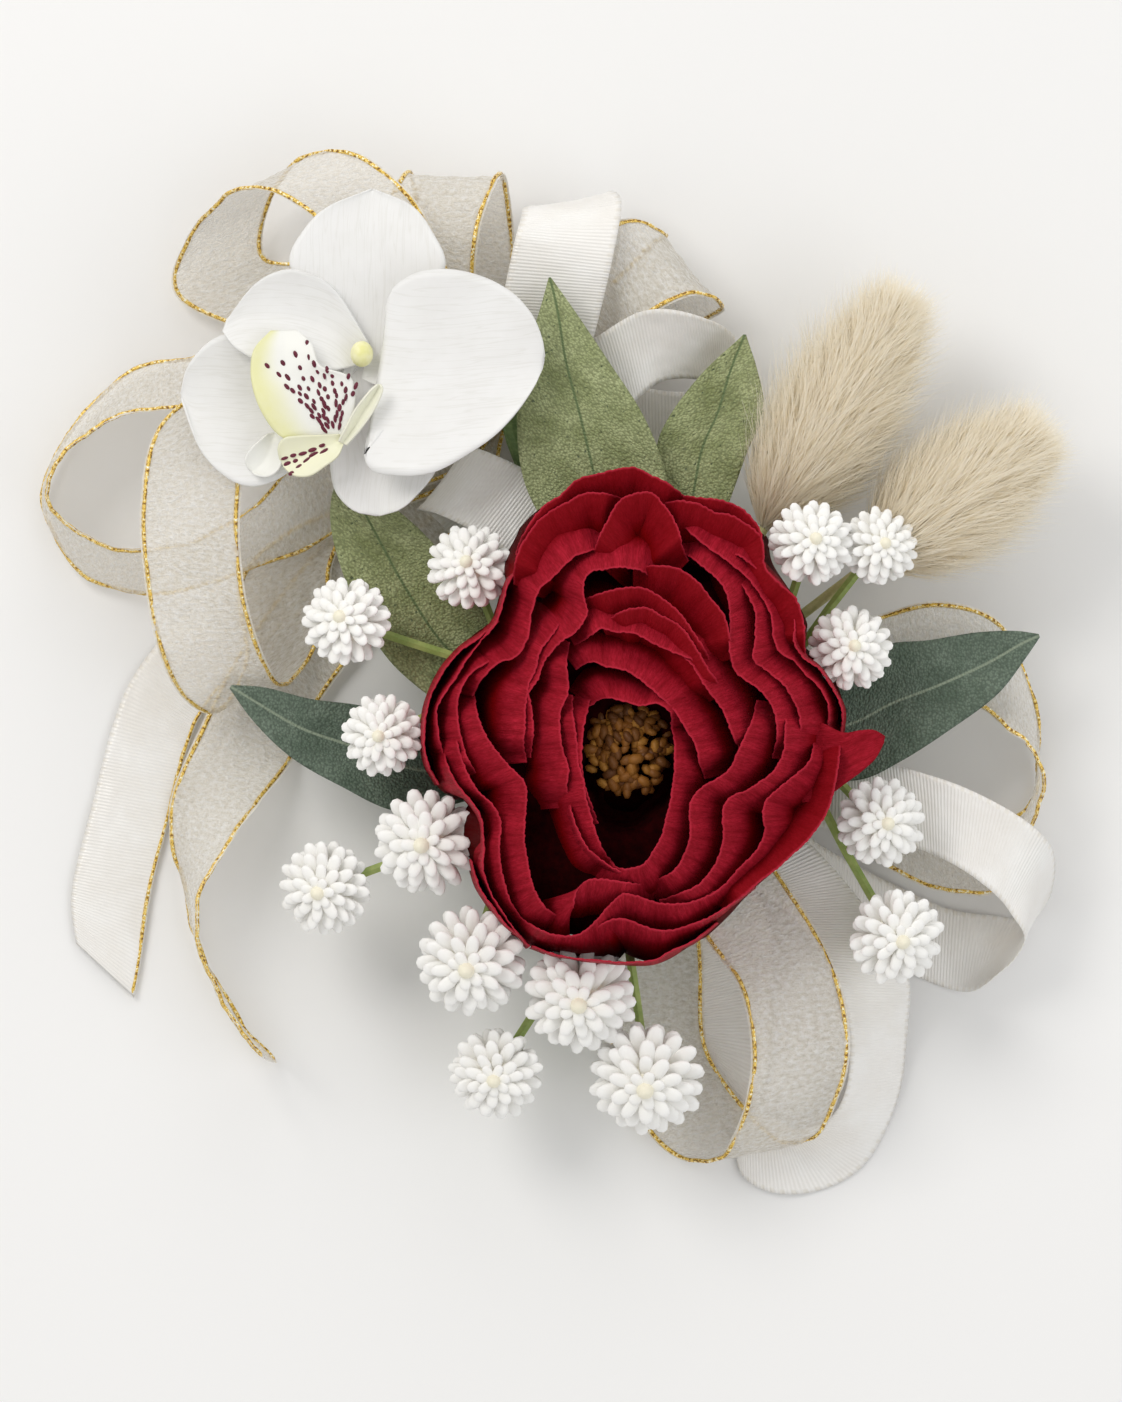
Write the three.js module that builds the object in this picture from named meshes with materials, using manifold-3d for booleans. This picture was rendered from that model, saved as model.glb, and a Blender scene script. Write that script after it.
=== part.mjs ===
// A pinned corsage that lies on its back: a cloth ranunculus, a moth orchid, leaves, grass tails,
// sprays of small white flowers and ribbon loops, all bound to one taped barrel over a bar pin.
import * as THREE from "three";
import { mergeVertices } from "three/addons/utils/BufferGeometryUtils.js";
import Module from "manifold-3d";

const wasm = await Module();
wasm.setup();

// Driving dimensions, in millimetres.
// Shares of the spread place things seen from above, measured from the axis of the big flower.
const spread = 150;
const gap = 0.3; // clearance between neighbours that touch
const overrun = 1; // how far a cut runs past the face that it opens

const pinLength = 32;
const plateWidth = 8;
const plateThickness = 0.9;
const needleRadius = 0.4;
const needleDrop = 3.6; // from the plate's outer face to the needle's axis
const rivetRadius = 0.6;
const rivetHeadRadius = 1.3;
const earThickness = 0.8;
const eyeRadius = 1.5;
const eyeThickness = 1.4;
const pivotPlay = 0.08; // radial play of the eye on its rivet
const catchRadius = 1.9;
const catchBore = 0.8;
const catchLength = 4.4;
const catchPlay = 0.2;
const tabLength = 2.2;
const tabThickness = 0.7;
const pinLift = 0.4; // between the lowest point of the pin and the surface

const feltRadius = 15.5;
const feltInnerRadius = 9.5;
const feltThickness = 1.5;

const barrelRadius = 9;
const barrelHeight = 11.6;
const barrelWaist = 0.5;
const tapeTurns = 6;

const receptacleRadius = 10.2;
const receptacleTipRadius = 3;
const receptacleHeight = 8.2;
const calyxFlange = 1.2;
const stamenRadius = 5.4;
const stamenHeight = 4.4;

const petalThickness = 0.4;
const petalRise = 22; // from the receptacle's foot to the highest rim
const petalLean = 2.4; // how far a petal's belly stands outside its rim

const leafThickness = 0.6;
const leafStemRadius = 0.9;
const sprayStemRadius = 0.75;
const headFlatness = 0.8;
const tailStemRadius = 0.9;
const tailRadius = 7.2;

const sheerWidth = 15;
const satinWidth = 12;
const ribbonThickness = 0.3;
const pinchedWidth = 5;

const orchidThickness = 0.6;
const orchidCrease = 0.7; // how far a lobe's middle dips
const spineRadius = 1.4;
const columnRadius = 1.7;

const corsage = new THREE.Group();

function finish(color, roughness, metalness = 0) {
  return new THREE.MeshStandardMaterial({ color, roughness, metalness });
}

const steel = finish(0xb9bbc0, 0.3, 1);
const felt = finish(0xf2efe8, 0.95);
const tape = finish(0x5d7a45, 0.8);
const wine = finish(0xa3101f, 0.75);
const amber = finish(0x7a4512, 0.7);
const lightLeaf = finish(0x6f8a56, 0.75);
const darkLeaf = finish(0x3f5f4c, 0.75);
const cream = finish(0xeaddc0, 0.9);
const ivory = finish(0xf7f4ec, 0.6);
const sprayGreen = finish(0x7d9a3a, 0.6);
const sheer = finish(0xf0e8d8, 0.5);
const satin = finish(0xf5f2ec, 0.35);
const orchidWhite = finish(0xfaf9f6, 0.5);
const lipYellow = finish(0xf4f1c4, 0.5);

function add(name, geometry, material) {
  const mesh = new THREE.Mesh(geometry, material);
  mesh.name = name;
  corsage.add(mesh);
  return mesh;
}

// A solid for cutting and joining, from any closed geometry.
function solidOf(geometry) {
  const plain = new THREE.BufferGeometry();
  const source = geometry.index ? geometry.toNonIndexed() : geometry;
  plain.setAttribute("position", source.getAttribute("position"));
  const merged = mergeVertices(plain, 1e-4);
  return new wasm.Manifold(
    new wasm.Mesh({
      numProp: 3,
      vertProperties: merged.attributes.position.array,
      triVerts: new Uint32Array(merged.index.array),
    }),
  );
}

function geometryOf(solid) {
  const mesh = solid.getMesh();
  const geometry = new THREE.BufferGeometry();
  geometry.setAttribute("position", new THREE.BufferAttribute(mesh.vertProperties, 3));
  geometry.setIndex(new THREE.BufferAttribute(mesh.triVerts, 1));
  geometry.computeVertexNormals();
  return geometry;
}

function joined(...geometries) {
  return geometryOf(geometries.map(solidOf).reduce((whole, piece) => whole.add(piece)));
}

function cut(geometry, ...tools) {
  return geometryOf(tools.map(solidOf).reduce((whole, tool) => whole.subtract(tool), solidOf(geometry)));
}

// The place of a point given as shares of the spread.
function place(xShare, yShare, zShare) {
  return new THREE.Vector3(xShare, yShare, zShare).multiplyScalar(spread);
}

// A thin closed solid round a grid of points, rows[j][i]; wrap joins the ends of each row.
function sheetSolid(rows, thickness, wrap = false) {
  const high = rows.length;
  const wide = rows[0].length;
  const at = (j, i) => rows[Math.min(Math.max(j, 0), high - 1)][
    wrap ? (i + wide) % wide : Math.min(Math.max(i, 0), wide - 1)
  ];
  const points = [];
  for (const side of [1, -1]) {
    for (let j = 0; j < high; j++) {
      for (let i = 0; i < wide; i++) {
        const along = at(j, i + 1).clone().sub(at(j, i - 1));
        const across = at(j + 1, i).clone().sub(at(j - 1, i));
        const normal = along.cross(across).normalize();
        points.push(at(j, i).clone().addScaledVector(normal, (side * thickness) / 2));
      }
    }
  }
  const id = (side, j, i) => side * high * wide + j * wide + (wrap ? i % wide : i);
  const faces = [];
  const quad = (a, b, c, d) => faces.push(a, b, c, a, c, d);
  const spans = wrap ? wide : wide - 1;
  for (let j = 0; j < high - 1; j++) {
    for (let i = 0; i < spans; i++) {
      quad(id(0, j, i), id(0, j, i + 1), id(0, j + 1, i + 1), id(0, j + 1, i));
      quad(id(1, j, i), id(1, j + 1, i), id(1, j + 1, i + 1), id(1, j, i + 1));
    }
  }
  for (let i = 0; i < spans; i++) {
    quad(id(0, 0, i + 1), id(0, 0, i), id(1, 0, i), id(1, 0, i + 1));
    quad(id(0, high - 1, i), id(0, high - 1, i + 1), id(1, high - 1, i + 1), id(1, high - 1, i));
  }
  if (!wrap) {
    for (let j = 0; j < high - 1; j++) {
      quad(id(0, j, 0), id(0, j + 1, 0), id(1, j + 1, 0), id(1, j, 0));
      quad(id(0, j + 1, wide - 1), id(0, j, wide - 1), id(1, j, wide - 1), id(1, j + 1, wide - 1));
    }
  }
  const geometry = new THREE.BufferGeometry().setFromPoints(points);
  geometry.setIndex(faces);
  geometry.computeVertexNormals();
  return geometry;
}

function tube(points, radius, steps, sides = 8) {
  const section = new THREE.Shape();
  section.absarc(0, 0, radius, 0, Math.PI * 2);
  return new THREE.ExtrudeGeometry(section, {
    extrudePath: new THREE.CatmullRomCurve3(points),
    steps,
    curveSegments: sides / 2, // a full circle gets two sides for each
    bevelEnabled: false,
  });
}

// A turned solid about a line from a foot point along a direction; profile rows are [radius, distance].
function turned(profile, foot, direction, sides) {
  const geometry = new THREE.LatheGeometry(profile.map(([r, d]) => new THREE.Vector2(r, d)), sides);
  const turn = new THREE.Quaternion().setFromUnitVectors(new THREE.Vector3(0, 1, 0), direction);
  return geometry.applyQuaternion(turn).translate(foot.x, foot.y, foot.z);
}

function block(xSize, ySize, zSize, x, y, z) {
  return new THREE.BoxGeometry(xSize, ySize, zSize).translate(x, y, z);
}

// The bar pin: a stamped plate with two ears and a wrapped housing, seen on its back below the felt.
const hingeX = -pinLength / 2 + 2.2 * eyeRadius;
const catchX = pinLength / 2 - catchLength;
const flangeThickness = catchPlay * 3;
const flangeRadius = catchRadius + catchPlay * 2;
const housingWall = earThickness;
const pinCentre = pinLift + flangeRadius;
const plateFace = pinCentre + needleDrop;
const earGap = eyeThickness / 2 + gap / 2;
const alongX = new THREE.Vector3(1, 0, 0);
const alongY = new THREE.Vector3(0, 1, 0);

function rod(radius, from, to, direction, x, z, sides = 16) {
  const foot = new THREE.Vector3(x, 0, z).addScaledVector(direction, from);
  return turned([[0, 0], [radius, 0], [radius, to - from], [0, to - from]], foot, direction, sides);
}

function barPlate() {
  const plate = new THREE.Shape();
  const half = pinLength / 2;
  const corner = plateWidth / 2;
  plate.absarc(half - corner, 0, corner, -Math.PI / 2, Math.PI / 2);
  plate.absarc(corner - half, 0, corner, Math.PI / 2, Math.PI * 1.5);
  const body = new THREE.ExtrudeGeometry(plate, {
    depth: plateThickness,
    curveSegments: 8,
    bevelEnabled: false,
  }).translate(0, 0, plateFace);
  const earDrop = needleDrop + rivetHeadRadius;
  const ears = [-1, 1].map((side) => block(
    2 * eyeRadius, earThickness, earDrop + plateThickness / 2,
    hingeX, side * (earGap + earThickness / 2), plateFace - earDrop / 2 + plateThickness / 4,
  ));
  const outer = catchRadius + catchPlay + housingWall;
  const housingHeight = plateFace - pinCentre + catchRadius / 2;
  const housing = block(
    catchLength, 2 * outer, housingHeight + plateThickness / 2,
    catchX, 0, plateFace - housingHeight / 2 + plateThickness / 4,
  );
  const reach = outer + overrun;
  return cut(
    joined(body, ...ears, housing),
    rod(rivetRadius + gap / 2, -reach, reach, alongY, hingeX, pinCentre),
    rod(catchRadius + catchPlay, catchX - catchLength, catchX + catchLength, alongX, 0, pinCentre, 24),
  );
}

function hingeRivet() {
  const inner = earGap + earThickness + gap / 2;
  const outer = inner + earThickness / 2;
  const profile = [
    [0, -outer], [rivetHeadRadius, -outer], [rivetHeadRadius, -inner], [rivetRadius, -inner],
    [rivetRadius, inner], [rivetHeadRadius, inner], [rivetHeadRadius, outer], [0, outer],
  ];
  return turned(profile, new THREE.Vector3(hingeX, 0, pinCentre), alongY, 16);
}

function pinNeedle() {
  const reach = catchX + catchLength / 2 - hingeX;
  const tip = needleRadius * 8;
  const shaft = turned(
    [[0, 0], [needleRadius, 0], [needleRadius, reach - tip], [needleRadius / 5, reach], [0, reach]],
    new THREE.Vector3(hingeX, 0, pinCentre), alongX, 12,
  );
  const eye = rod(eyeRadius, -eyeThickness / 2, eyeThickness / 2, alongY, hingeX, pinCentre, 24);
  return cut(
    joined(shaft, eye),
    rod(rivetRadius + pivotPlay, -eyeThickness, eyeThickness, alongY, hingeX, pinCentre),
  );
}

function catchSleeve() {
  const inner = catchLength / 2 + catchPlay;
  const outer = inner + flangeThickness;
  const profile = [
    [0, -outer], [flangeRadius, -outer], [flangeRadius, -inner], [catchRadius, -inner],
    [catchRadius, inner], [flangeRadius, inner], [flangeRadius, outer], [0, outer],
  ];
  const body = turned(profile, new THREE.Vector3(catchX, 0, pinCentre), alongX, 24);
  const tab = block(
    flangeThickness, tabLength + catchRadius, tabThickness,
    catchX + (inner + outer) / 2, (tabLength + catchRadius) / 2 + catchBore, pinCentre,
  );
  const slotDepth = flangeRadius + overrun;
  return cut(
    joined(body, tab),
    rod(catchBore, -outer - overrun, outer + overrun, alongX, catchX, pinCentre, 12),
    block(2 * (outer + overrun), 2 * catchBore, slotDepth, catchX, 0, pinCentre - slotDepth / 2),
  );
}

add("bar_plate", barPlate(), steel);
add("hinge_rivet", hingeRivet(), steel);
add("pin_needle", pinNeedle(), steel);
add("catch_sleeve", catchSleeve(), steel);

// The felt pad, the taped barrel that binds every stem, and the receptacle that carries the petals.
const up = new THREE.Vector3(0, 0, 1);
const feltFace = plateFace + plateThickness + gap;
const barrelFoot = feltFace + feltThickness + gap;
const barrelTop = barrelFoot + barrelHeight;
const flowerFoot = barrelTop + gap;

function feltBacking() {
  return turned(
    [[0, 0], [feltInnerRadius, 0], [feltRadius, 0], [feltRadius, feltThickness], [0, feltThickness]],
    new THREE.Vector3(0, 0, feltFace), up, 32,
  );
}

function stemBinding() {
  const profile = [[0, 0]];
  for (let turn = 0; turn <= 2 * tapeTurns; turn++) {
    const ridge = turn % 2 ? 0 : barrelWaist / 2;
    profile.push([barrelRadius - barrelWaist / 2 - ridge, (barrelHeight * turn) / (2 * tapeTurns)]);
  }
  profile.push([0, barrelHeight]);
  return turned(profile, new THREE.Vector3(0, 0, barrelFoot), up, 24);
}

// The radius of the receptacle's cone at a height above its flange.
const coneRadius = (height) => THREE.MathUtils.lerp(
  receptacleRadius, receptacleTipRadius, height / (receptacleHeight - calyxFlange),
);

function receptacle() {
  const foot = receptacleRadius + calyxFlange;
  return turned(
    [[0, 0], [foot - calyxFlange, 0], [foot, calyxFlange], [coneRadius(0), calyxFlange],
      [receptacleTipRadius, receptacleHeight], [0, receptacleHeight]],
    new THREE.Vector3(0, 0, flowerFoot), up, 24,
  );
}

function stamenCluster() {
  const rings = 7;
  const sides = 14;
  const rows = [];
  for (let j = 1; j < rings; j++) {
    const polar = (Math.PI * j) / rings;
    const row = [];
    for (let i = 0; i < sides; i++) {
      const turn = (Math.PI * 2 * (i + (j % 2) / 2)) / sides;
      const grain = 1 + ((i + j) % 2 ? 0.08 : -0.08);
      const r = stamenRadius * Math.sin(polar) * grain;
      row.push([r * Math.cos(turn), r * Math.sin(turn), -Math.cos(polar) * stamenHeight / 2]);
    }
    rows.push(row);
  }
  const foot = flowerFoot + receptacleHeight + gap + stamenHeight / 2;
  return capped(rows, foot, stamenHeight / 2);
}

// A closed lump from rings of points round an upright axis, with a point at each end.
function capped(rows, centreHeight, endReach, x = 0, y = 0) {
  const sides = rows[0].length;
  const points = rows.flat().map(([px, py, pz]) => new THREE.Vector3(x + px, y + py, centreHeight + pz));
  const bottom = points.push(new THREE.Vector3(x, y, centreHeight - endReach)) - 1;
  const top = points.push(new THREE.Vector3(x, y, centreHeight + endReach)) - 1;
  const faces = [];
  for (let i = 0; i < sides; i++) {
    const next = (i + 1) % sides;
    faces.push(bottom, next, i);
    faces.push(top, (rows.length - 1) * sides + i, (rows.length - 1) * sides + next);
    for (let j = 0; j < rows.length - 1; j++) {
      const [a, b] = [j * sides + i, j * sides + next];
      faces.push(a, b, b + sides, a, b + sides, a + sides);
    }
  }
  const geometry = new THREE.BufferGeometry().setFromPoints(points);
  geometry.setIndex(faces);
  geometry.computeVertexNormals();
  return geometry;
}

add("felt_backing", feltBacking(), felt);
add("stem_binding", stemBinding(), tape);
add("receptacle", receptacle(), tape);
add("stamen_cluster", stamenCluster(), amber);

// The ranunculus: ruffled layers, each one ring of cloth cupped round the next one inside it.
// Rim radii are shares of the spread at every thirty degrees, counted anticlockwise from the right.
const petalLayers = [
  { riseShare: 0.86, rimShares: [0.040, 0.044, 0.047, 0.046, 0.054, 0.058, 0.052, 0.060, 0.086, 0.121, 0.076, 0.046] },
  { riseShare: 0.95, rimShares: [0.060, 0.058, 0.066, 0.076, 0.085, 0.078, 0.071, 0.078, 0.104, 0.135, 0.092, 0.066] },
  { riseShare: 1.00, rimShares: [0.082, 0.085, 0.091, 0.096, 0.104, 0.114, 0.108, 0.100, 0.121, 0.149, 0.112, 0.086] },
  { riseShare: 0.98, rimShares: [0.108, 0.106, 0.120, 0.120, 0.122, 0.136, 0.132, 0.120, 0.140, 0.162, 0.134, 0.108] },
  { riseShare: 0.93, rimShares: [0.138, 0.128, 0.150, 0.152, 0.142, 0.156, 0.152, 0.138, 0.157, 0.175, 0.156, 0.132] },
  { riseShare: 0.86, rimShares: [0.160, 0.150, 0.178, 0.190, 0.166, 0.172, 0.170, 0.152, 0.173, 0.187, 0.174, 0.154] },
  { riseShare: 0.77, rimShares: [0.180, 0.168, 0.205, 0.228, 0.190, 0.184, 0.186, 0.165, 0.188, 0.199, 0.191, 0.176] },
  { riseShare: 0.66, rimShares: [0.199, 0.184, 0.232, 0.262, 0.216, 0.196, 0.201, 0.178, 0.203, 0.211, 0.206, 0.194] },
];
const petalSpans = 28;
const petalRings = 4;
const ruffleShare = 0.012;

// A smooth value round a full turn from a table of evenly spaced ones.
function roundTable(table, turnShare) {
  const along = turnShare * table.length;
  const start = Math.floor(along);
  const t = along - start;
  const [a, b, c, d] = [-1, 0, 1, 2].map((k) => table[(start + k + table.length) % table.length]);
  return b + 0.5 * t * (c - a + t * (2 * a - 5 * b + 4 * c - d + t * (3 * (b - c) + d - a)));
}

function petalLayer(layer, order) {
  const step = (receptacleHeight - calyxFlange) / petalLayers.length;
  const footHeight = (petalLayers.length - 1 - order + 0.5) * step;
  const foot = coneRadius(footHeight - step / 2) + gap + petalThickness / 2;
  const base = flowerFoot + calyxFlange + footHeight;
  const rows = Array.from({ length: petalRings + 1 }, () => []);
  for (let i = 0; i < petalSpans; i++) {
    const turn = i / petalSpans;
    const angle = turn * Math.PI * 2;
    const ruffle = ruffleShare * spread * Math.cos(7 * angle + 0.6) * 0.35;
    const rim = roundTable(layer.rimShares, turn) * spread + ruffle;
    const top = flowerFoot + petalRise * (layer.riseShare + ruffleShare * Math.sin(5 * angle));
    const belly = rim + petalLean;
    const curve = new THREE.CubicBezierCurve(
      new THREE.Vector2(foot, base),
      new THREE.Vector2(THREE.MathUtils.lerp(foot, belly, 0.65), base),
      new THREE.Vector2(belly, THREE.MathUtils.lerp(base, top, 0.45)),
      new THREE.Vector2(rim, top),
    );
    rows.forEach((row, j) => {
      const { x: r, y: z } = curve.getPoint(j / petalRings);
      row.push(new THREE.Vector3(r * Math.cos(angle), r * Math.sin(angle), z));
    });
  }
  return sheetSolid(rows, petalThickness, true);
}

petalLayers.forEach((layer, order) => {
  add("petal_layer_" + (order + 1), petalLayer(layer, order), wine);
});

// A blade between two edges. Each station gives its left and right edge and its height as shares,
// and the middle of the blade dips below its edges by the crease.
function blade(stationShares, thickness, crease, spans = 4) {
  const rows = stationShares.map(([xa, ya, xb, yb, z]) => {
    const left = place(xa, ya, z);
    const right = place(xb, yb, z);
    const dip = crease * Math.min(1, left.distanceTo(right) / (crease * 8));
    return Array.from({ length: spans + 1 }, (_, i) => {
      const share = i / spans;
      const point = left.clone().lerp(right, share);
      point.z -= dip * (1 - Math.abs(2 * share - 1));
      return point;
    });
  });
  return sheetSolid(rows, thickness);
}

// A point beside the bound barrel, in the direction of a place, at a height.
function barrelSide(toward, height, reach = barrelRadius + gap) {
  const direction = new THREE.Vector3(toward.x, toward.y, 0).normalize();
  return direction.multiplyScalar(reach).setZ(height);
}

const leafStationShares = {
  leaf_top: [
    [-0.018, 0.135, -0.006, 0.135, 0.128], [-0.062, 0.185, 0.023, 0.190, 0.138],
    [-0.105, 0.255, 0.036, 0.255, 0.146], [-0.115, 0.325, 0.013, 0.325, 0.150],
    [-0.108, 0.385, -0.025, 0.385, 0.150], [-0.092, 0.435, -0.057, 0.433, 0.146],
    [-0.083, 0.467, -0.081, 0.467, 0.142],
  ],
  leaf_upper_right: [
    [0.023, 0.125, 0.035, 0.123, 0.116], [0.018, 0.185, 0.068, 0.175, 0.118],
    [0.023, 0.245, 0.096, 0.240, 0.122], [0.025, 0.300, 0.116, 0.295, 0.122],
    [0.040, 0.333, 0.132, 0.333, 0.120], [0.073, 0.375, 0.125, 0.377, 0.116],
    [0.112, 0.411, 0.114, 0.411, 0.112],
  ],
  leaf_upper_left: [
    [-0.092, 0.045, -0.076, 0.073, 0.112], [-0.162, 0.030, -0.112, 0.090, 0.112],
    [-0.232, 0.073, -0.142, 0.125, 0.112], [-0.274, 0.135, -0.177, 0.175, 0.114],
    [-0.299, 0.205, -0.212, 0.215, 0.119], [-0.301, 0.245, -0.247, 0.245, 0.126],
    [-0.290, 0.277, -0.287, 0.277, 0.130],
  ],
  leaf_left: [
    [-0.092, -0.030, -0.089, -0.017, 0.112], [-0.162, -0.055, -0.152, 0, 0.112],
    [-0.232, -0.067, -0.212, 0.020, 0.112], [-0.292, -0.041, -0.270, 0.039, 0.110],
    [-0.342, -0.012, -0.322, 0.046, 0.108], [-0.382, 0.027, -0.370, 0.058, 0.108],
    [-0.403, 0.057, -0.401, 0.060, 0.108],
  ],
  leaf_right: [
    [0.088, 0, 0.090, 0.013, 0.112], [0.158, -0.030, 0.160, 0.045, 0.112],
    [0.228, -0.035, 0.218, 0.080, 0.112], [0.268, -0.017, 0.253, 0.100, 0.114],
    [0.318, 0.015, 0.298, 0.105, 0.118], [0.368, 0.053, 0.348, 0.113, 0.122],
    [0.396, 0.090, 0.386, 0.114, 0.124], [0.408, 0.108, 0.407, 0.111, 0.124],
  ],
};
const leafCrease = 1.2;

function leaf(stationShares) {
  const [xa, ya, xb, yb, z] = stationShares[0];
  const root = place((xa + xb) / 2, (ya + yb) / 2, z);
  root.z -= leafThickness / 2;
  const [xc, yc, xd, yd] = stationShares[1];
  const inside = root.clone().lerp(place((xc + xd) / 2, (yc + yd) / 2, z), 0.25).setZ(root.z);
  const start = barrelSide(root, root.z - leafStemRadius);
  const stem = tube([start, start.clone().lerp(root, 0.5), root, inside], leafStemRadius, 6);
  return joined(blade(stationShares, leafThickness, leafCrease), stem);
}

for (const [name, stationShares] of Object.entries(leafStationShares)) {
  add(name, leaf(stationShares), ["leaf_left", "leaf_right"].includes(name) ? darkLeaf : lightLeaf);
}

// Grass tails: a straight wired stem that swells into a soft tapering head.
const tailRise = 0.06; // climb for each millimetre outwards
const tailLevelShare = 0.52;

function grassTail(azimuth, headStartShare, headEndShare) {
  const direction = new THREE.Vector3(Math.cos(azimuth), Math.sin(azimuth), tailRise).normalize();
  const foot = new THREE.Vector3(0, 0, barrelFoot + tailLevelShare * barrelHeight);
  const from = headStartShare * spread;
  const length = headEndShare * spread - from;
  const swell = [[0.06, 0.5], [0.2, 0.86], [0.42, 1], [0.68, 0.82], [0.88, 0.46], [0.97, 0.2]];
  const profile = [
    [0, barrelRadius + gap], [tailStemRadius, barrelRadius + gap], [tailStemRadius, from],
    ...swell.map(([share, width]) => [width * tailRadius, from + share * length]), [0, from + length],
  ];
  return turned(profile, foot, direction, 12);
}

add("grass_tail_upper", grassTail(THREE.MathUtils.degToRad(58.6), 0.27, 0.52), cream);
add("grass_tail_lower", grassTail(THREE.MathUtils.degToRad(37.4), 0.315, 0.505), cream);

// Small white flower heads: place, radius and height as shares, with the spray that carries each.
const sprays = {
  left_spray: { azimuth: 150, headShares: [
    [-0.161, 0.176, 0.039, 0.160], [-0.283, 0.123, 0.040, 0.158], [-0.248, 0.010, 0.037, 0.160],
  ] },
  lower_left_spray: { azimuth: 212, headShares: [
    [-0.204, -0.095, 0.048, 0.155], [-0.305, -0.142, 0.042, 0.120], [-0.159, -0.214, 0.050, 0.150],
  ] },
  lower_spray: { azimuth: 265, headShares: [
    [-0.051, -0.250, 0.050, 0.150], [-0.135, -0.327, 0.042, 0.110], [0.015, -0.330, 0.052, 0.126],
  ] },
  right_spray: { azimuth: 20, headShares: [
    [0.176, 0.200, 0.038, 0.204], [0.244, 0.197, 0.035, 0.182], [0.216, 0.096, 0.038, 0.175],
    [0.246, -0.077, 0.040, 0.156], [0.262, -0.190, 0.043, 0.145],
  ] },
};
const headSides = 16;
const headRings = 6;
const forkShare = 0.135;

function flowerHead([xShare, yShare, radiusShare, zShare]) {
  const radius = radiusShare * spread;
  const reach = radius * headFlatness;
  const rows = [];
  for (let j = 1; j < headRings; j++) {
    const polar = (Math.PI * j) / headRings;
    rows.push(Array.from({ length: headSides }, (_, i) => {
      const turn = (Math.PI * 2 * i) / headSides;
      const petal = 1 - 0.09 * ((i + j) % 2);
      const r = radius * Math.sin(polar) * petal;
      return [r * Math.cos(turn), r * Math.sin(turn), -Math.cos(polar) * reach * petal];
    }));
  }
  const centre = place(xShare, yShare, zShare);
  return capped(rows, centre.z, reach, centre.x, centre.y);
}

function sprayStems({ azimuth, headShares }) {
  const angle = THREE.MathUtils.degToRad(azimuth);
  const level = barrelTop - 2 * sprayStemRadius;
  const direction = new THREE.Vector3(Math.cos(angle), Math.sin(angle), 0);
  const start = barrelSide(direction, level);
  const fork = direction.clone().multiplyScalar(forkShare * spread).setZ(level);
  const stems = headShares.map(([xShare, yShare, radiusShare, zShare]) => {
    const end = place(xShare, yShare, zShare - radiusShare * headFlatness);
    end.z -= gap + sprayStemRadius;
    const bend = fork.clone().lerp(end, 0.6);
    bend.z = Math.min(bend.z, level);
    return tube([start, start.clone().lerp(fork, 0.5), fork, bend, end], sprayStemRadius, 7, 6);
  });
  return joined(...stems);
}

let headNumber = 0;
for (const [name, spray] of Object.entries(sprays)) {
  add(name, sprayStems(spray), sprayGreen);
  for (const headShare of spray.headShares) {
    headNumber += 1;
    add("flower_head_" + String(headNumber).padStart(2, "0"), flowerHead(headShare), ivory);
  }
}

// The taped spine runs from the barrel over the bow's bound ribbon ends to the orchid.
const bowShare = [-0.132, 0.345];
const orchidShare = [-0.269, 0.389];
const bowLevel = 3.9; // height of the lowest bound ribbon end
const bowPitch = ribbonThickness + gap;
const bowEnds = 16;
const spineOver = bowLevel + (bowEnds - 0.5) * bowPitch + gap + spineRadius;
const orchidLevel = 23.4;
const spineStart = barrelFoot + barrelHeight * 0.28;

function orchidSpine() {
  const bow = place(...bowShare, 0).setZ(spineOver);
  const end = place(...orchidShare, 0).setZ(orchidLevel - orchidThickness / 2 - orchidCrease - gap);
  const start = barrelSide(bow, spineStart);
  const near = start.clone().lerp(bow, 0.4).setZ(spineStart);
  const before = start.clone().lerp(bow, 0.86).setZ(spineOver);
  const beyond = bow.clone().lerp(end, 0.75).setZ(spineOver + spineRadius);
  const under = end.clone().setZ(end.z - 2 * spineRadius);
  return tube([start, near, before, bow, beyond, under, end], spineRadius, 18);
}

add("orchid_spine", orchidSpine(), tape);

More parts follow.
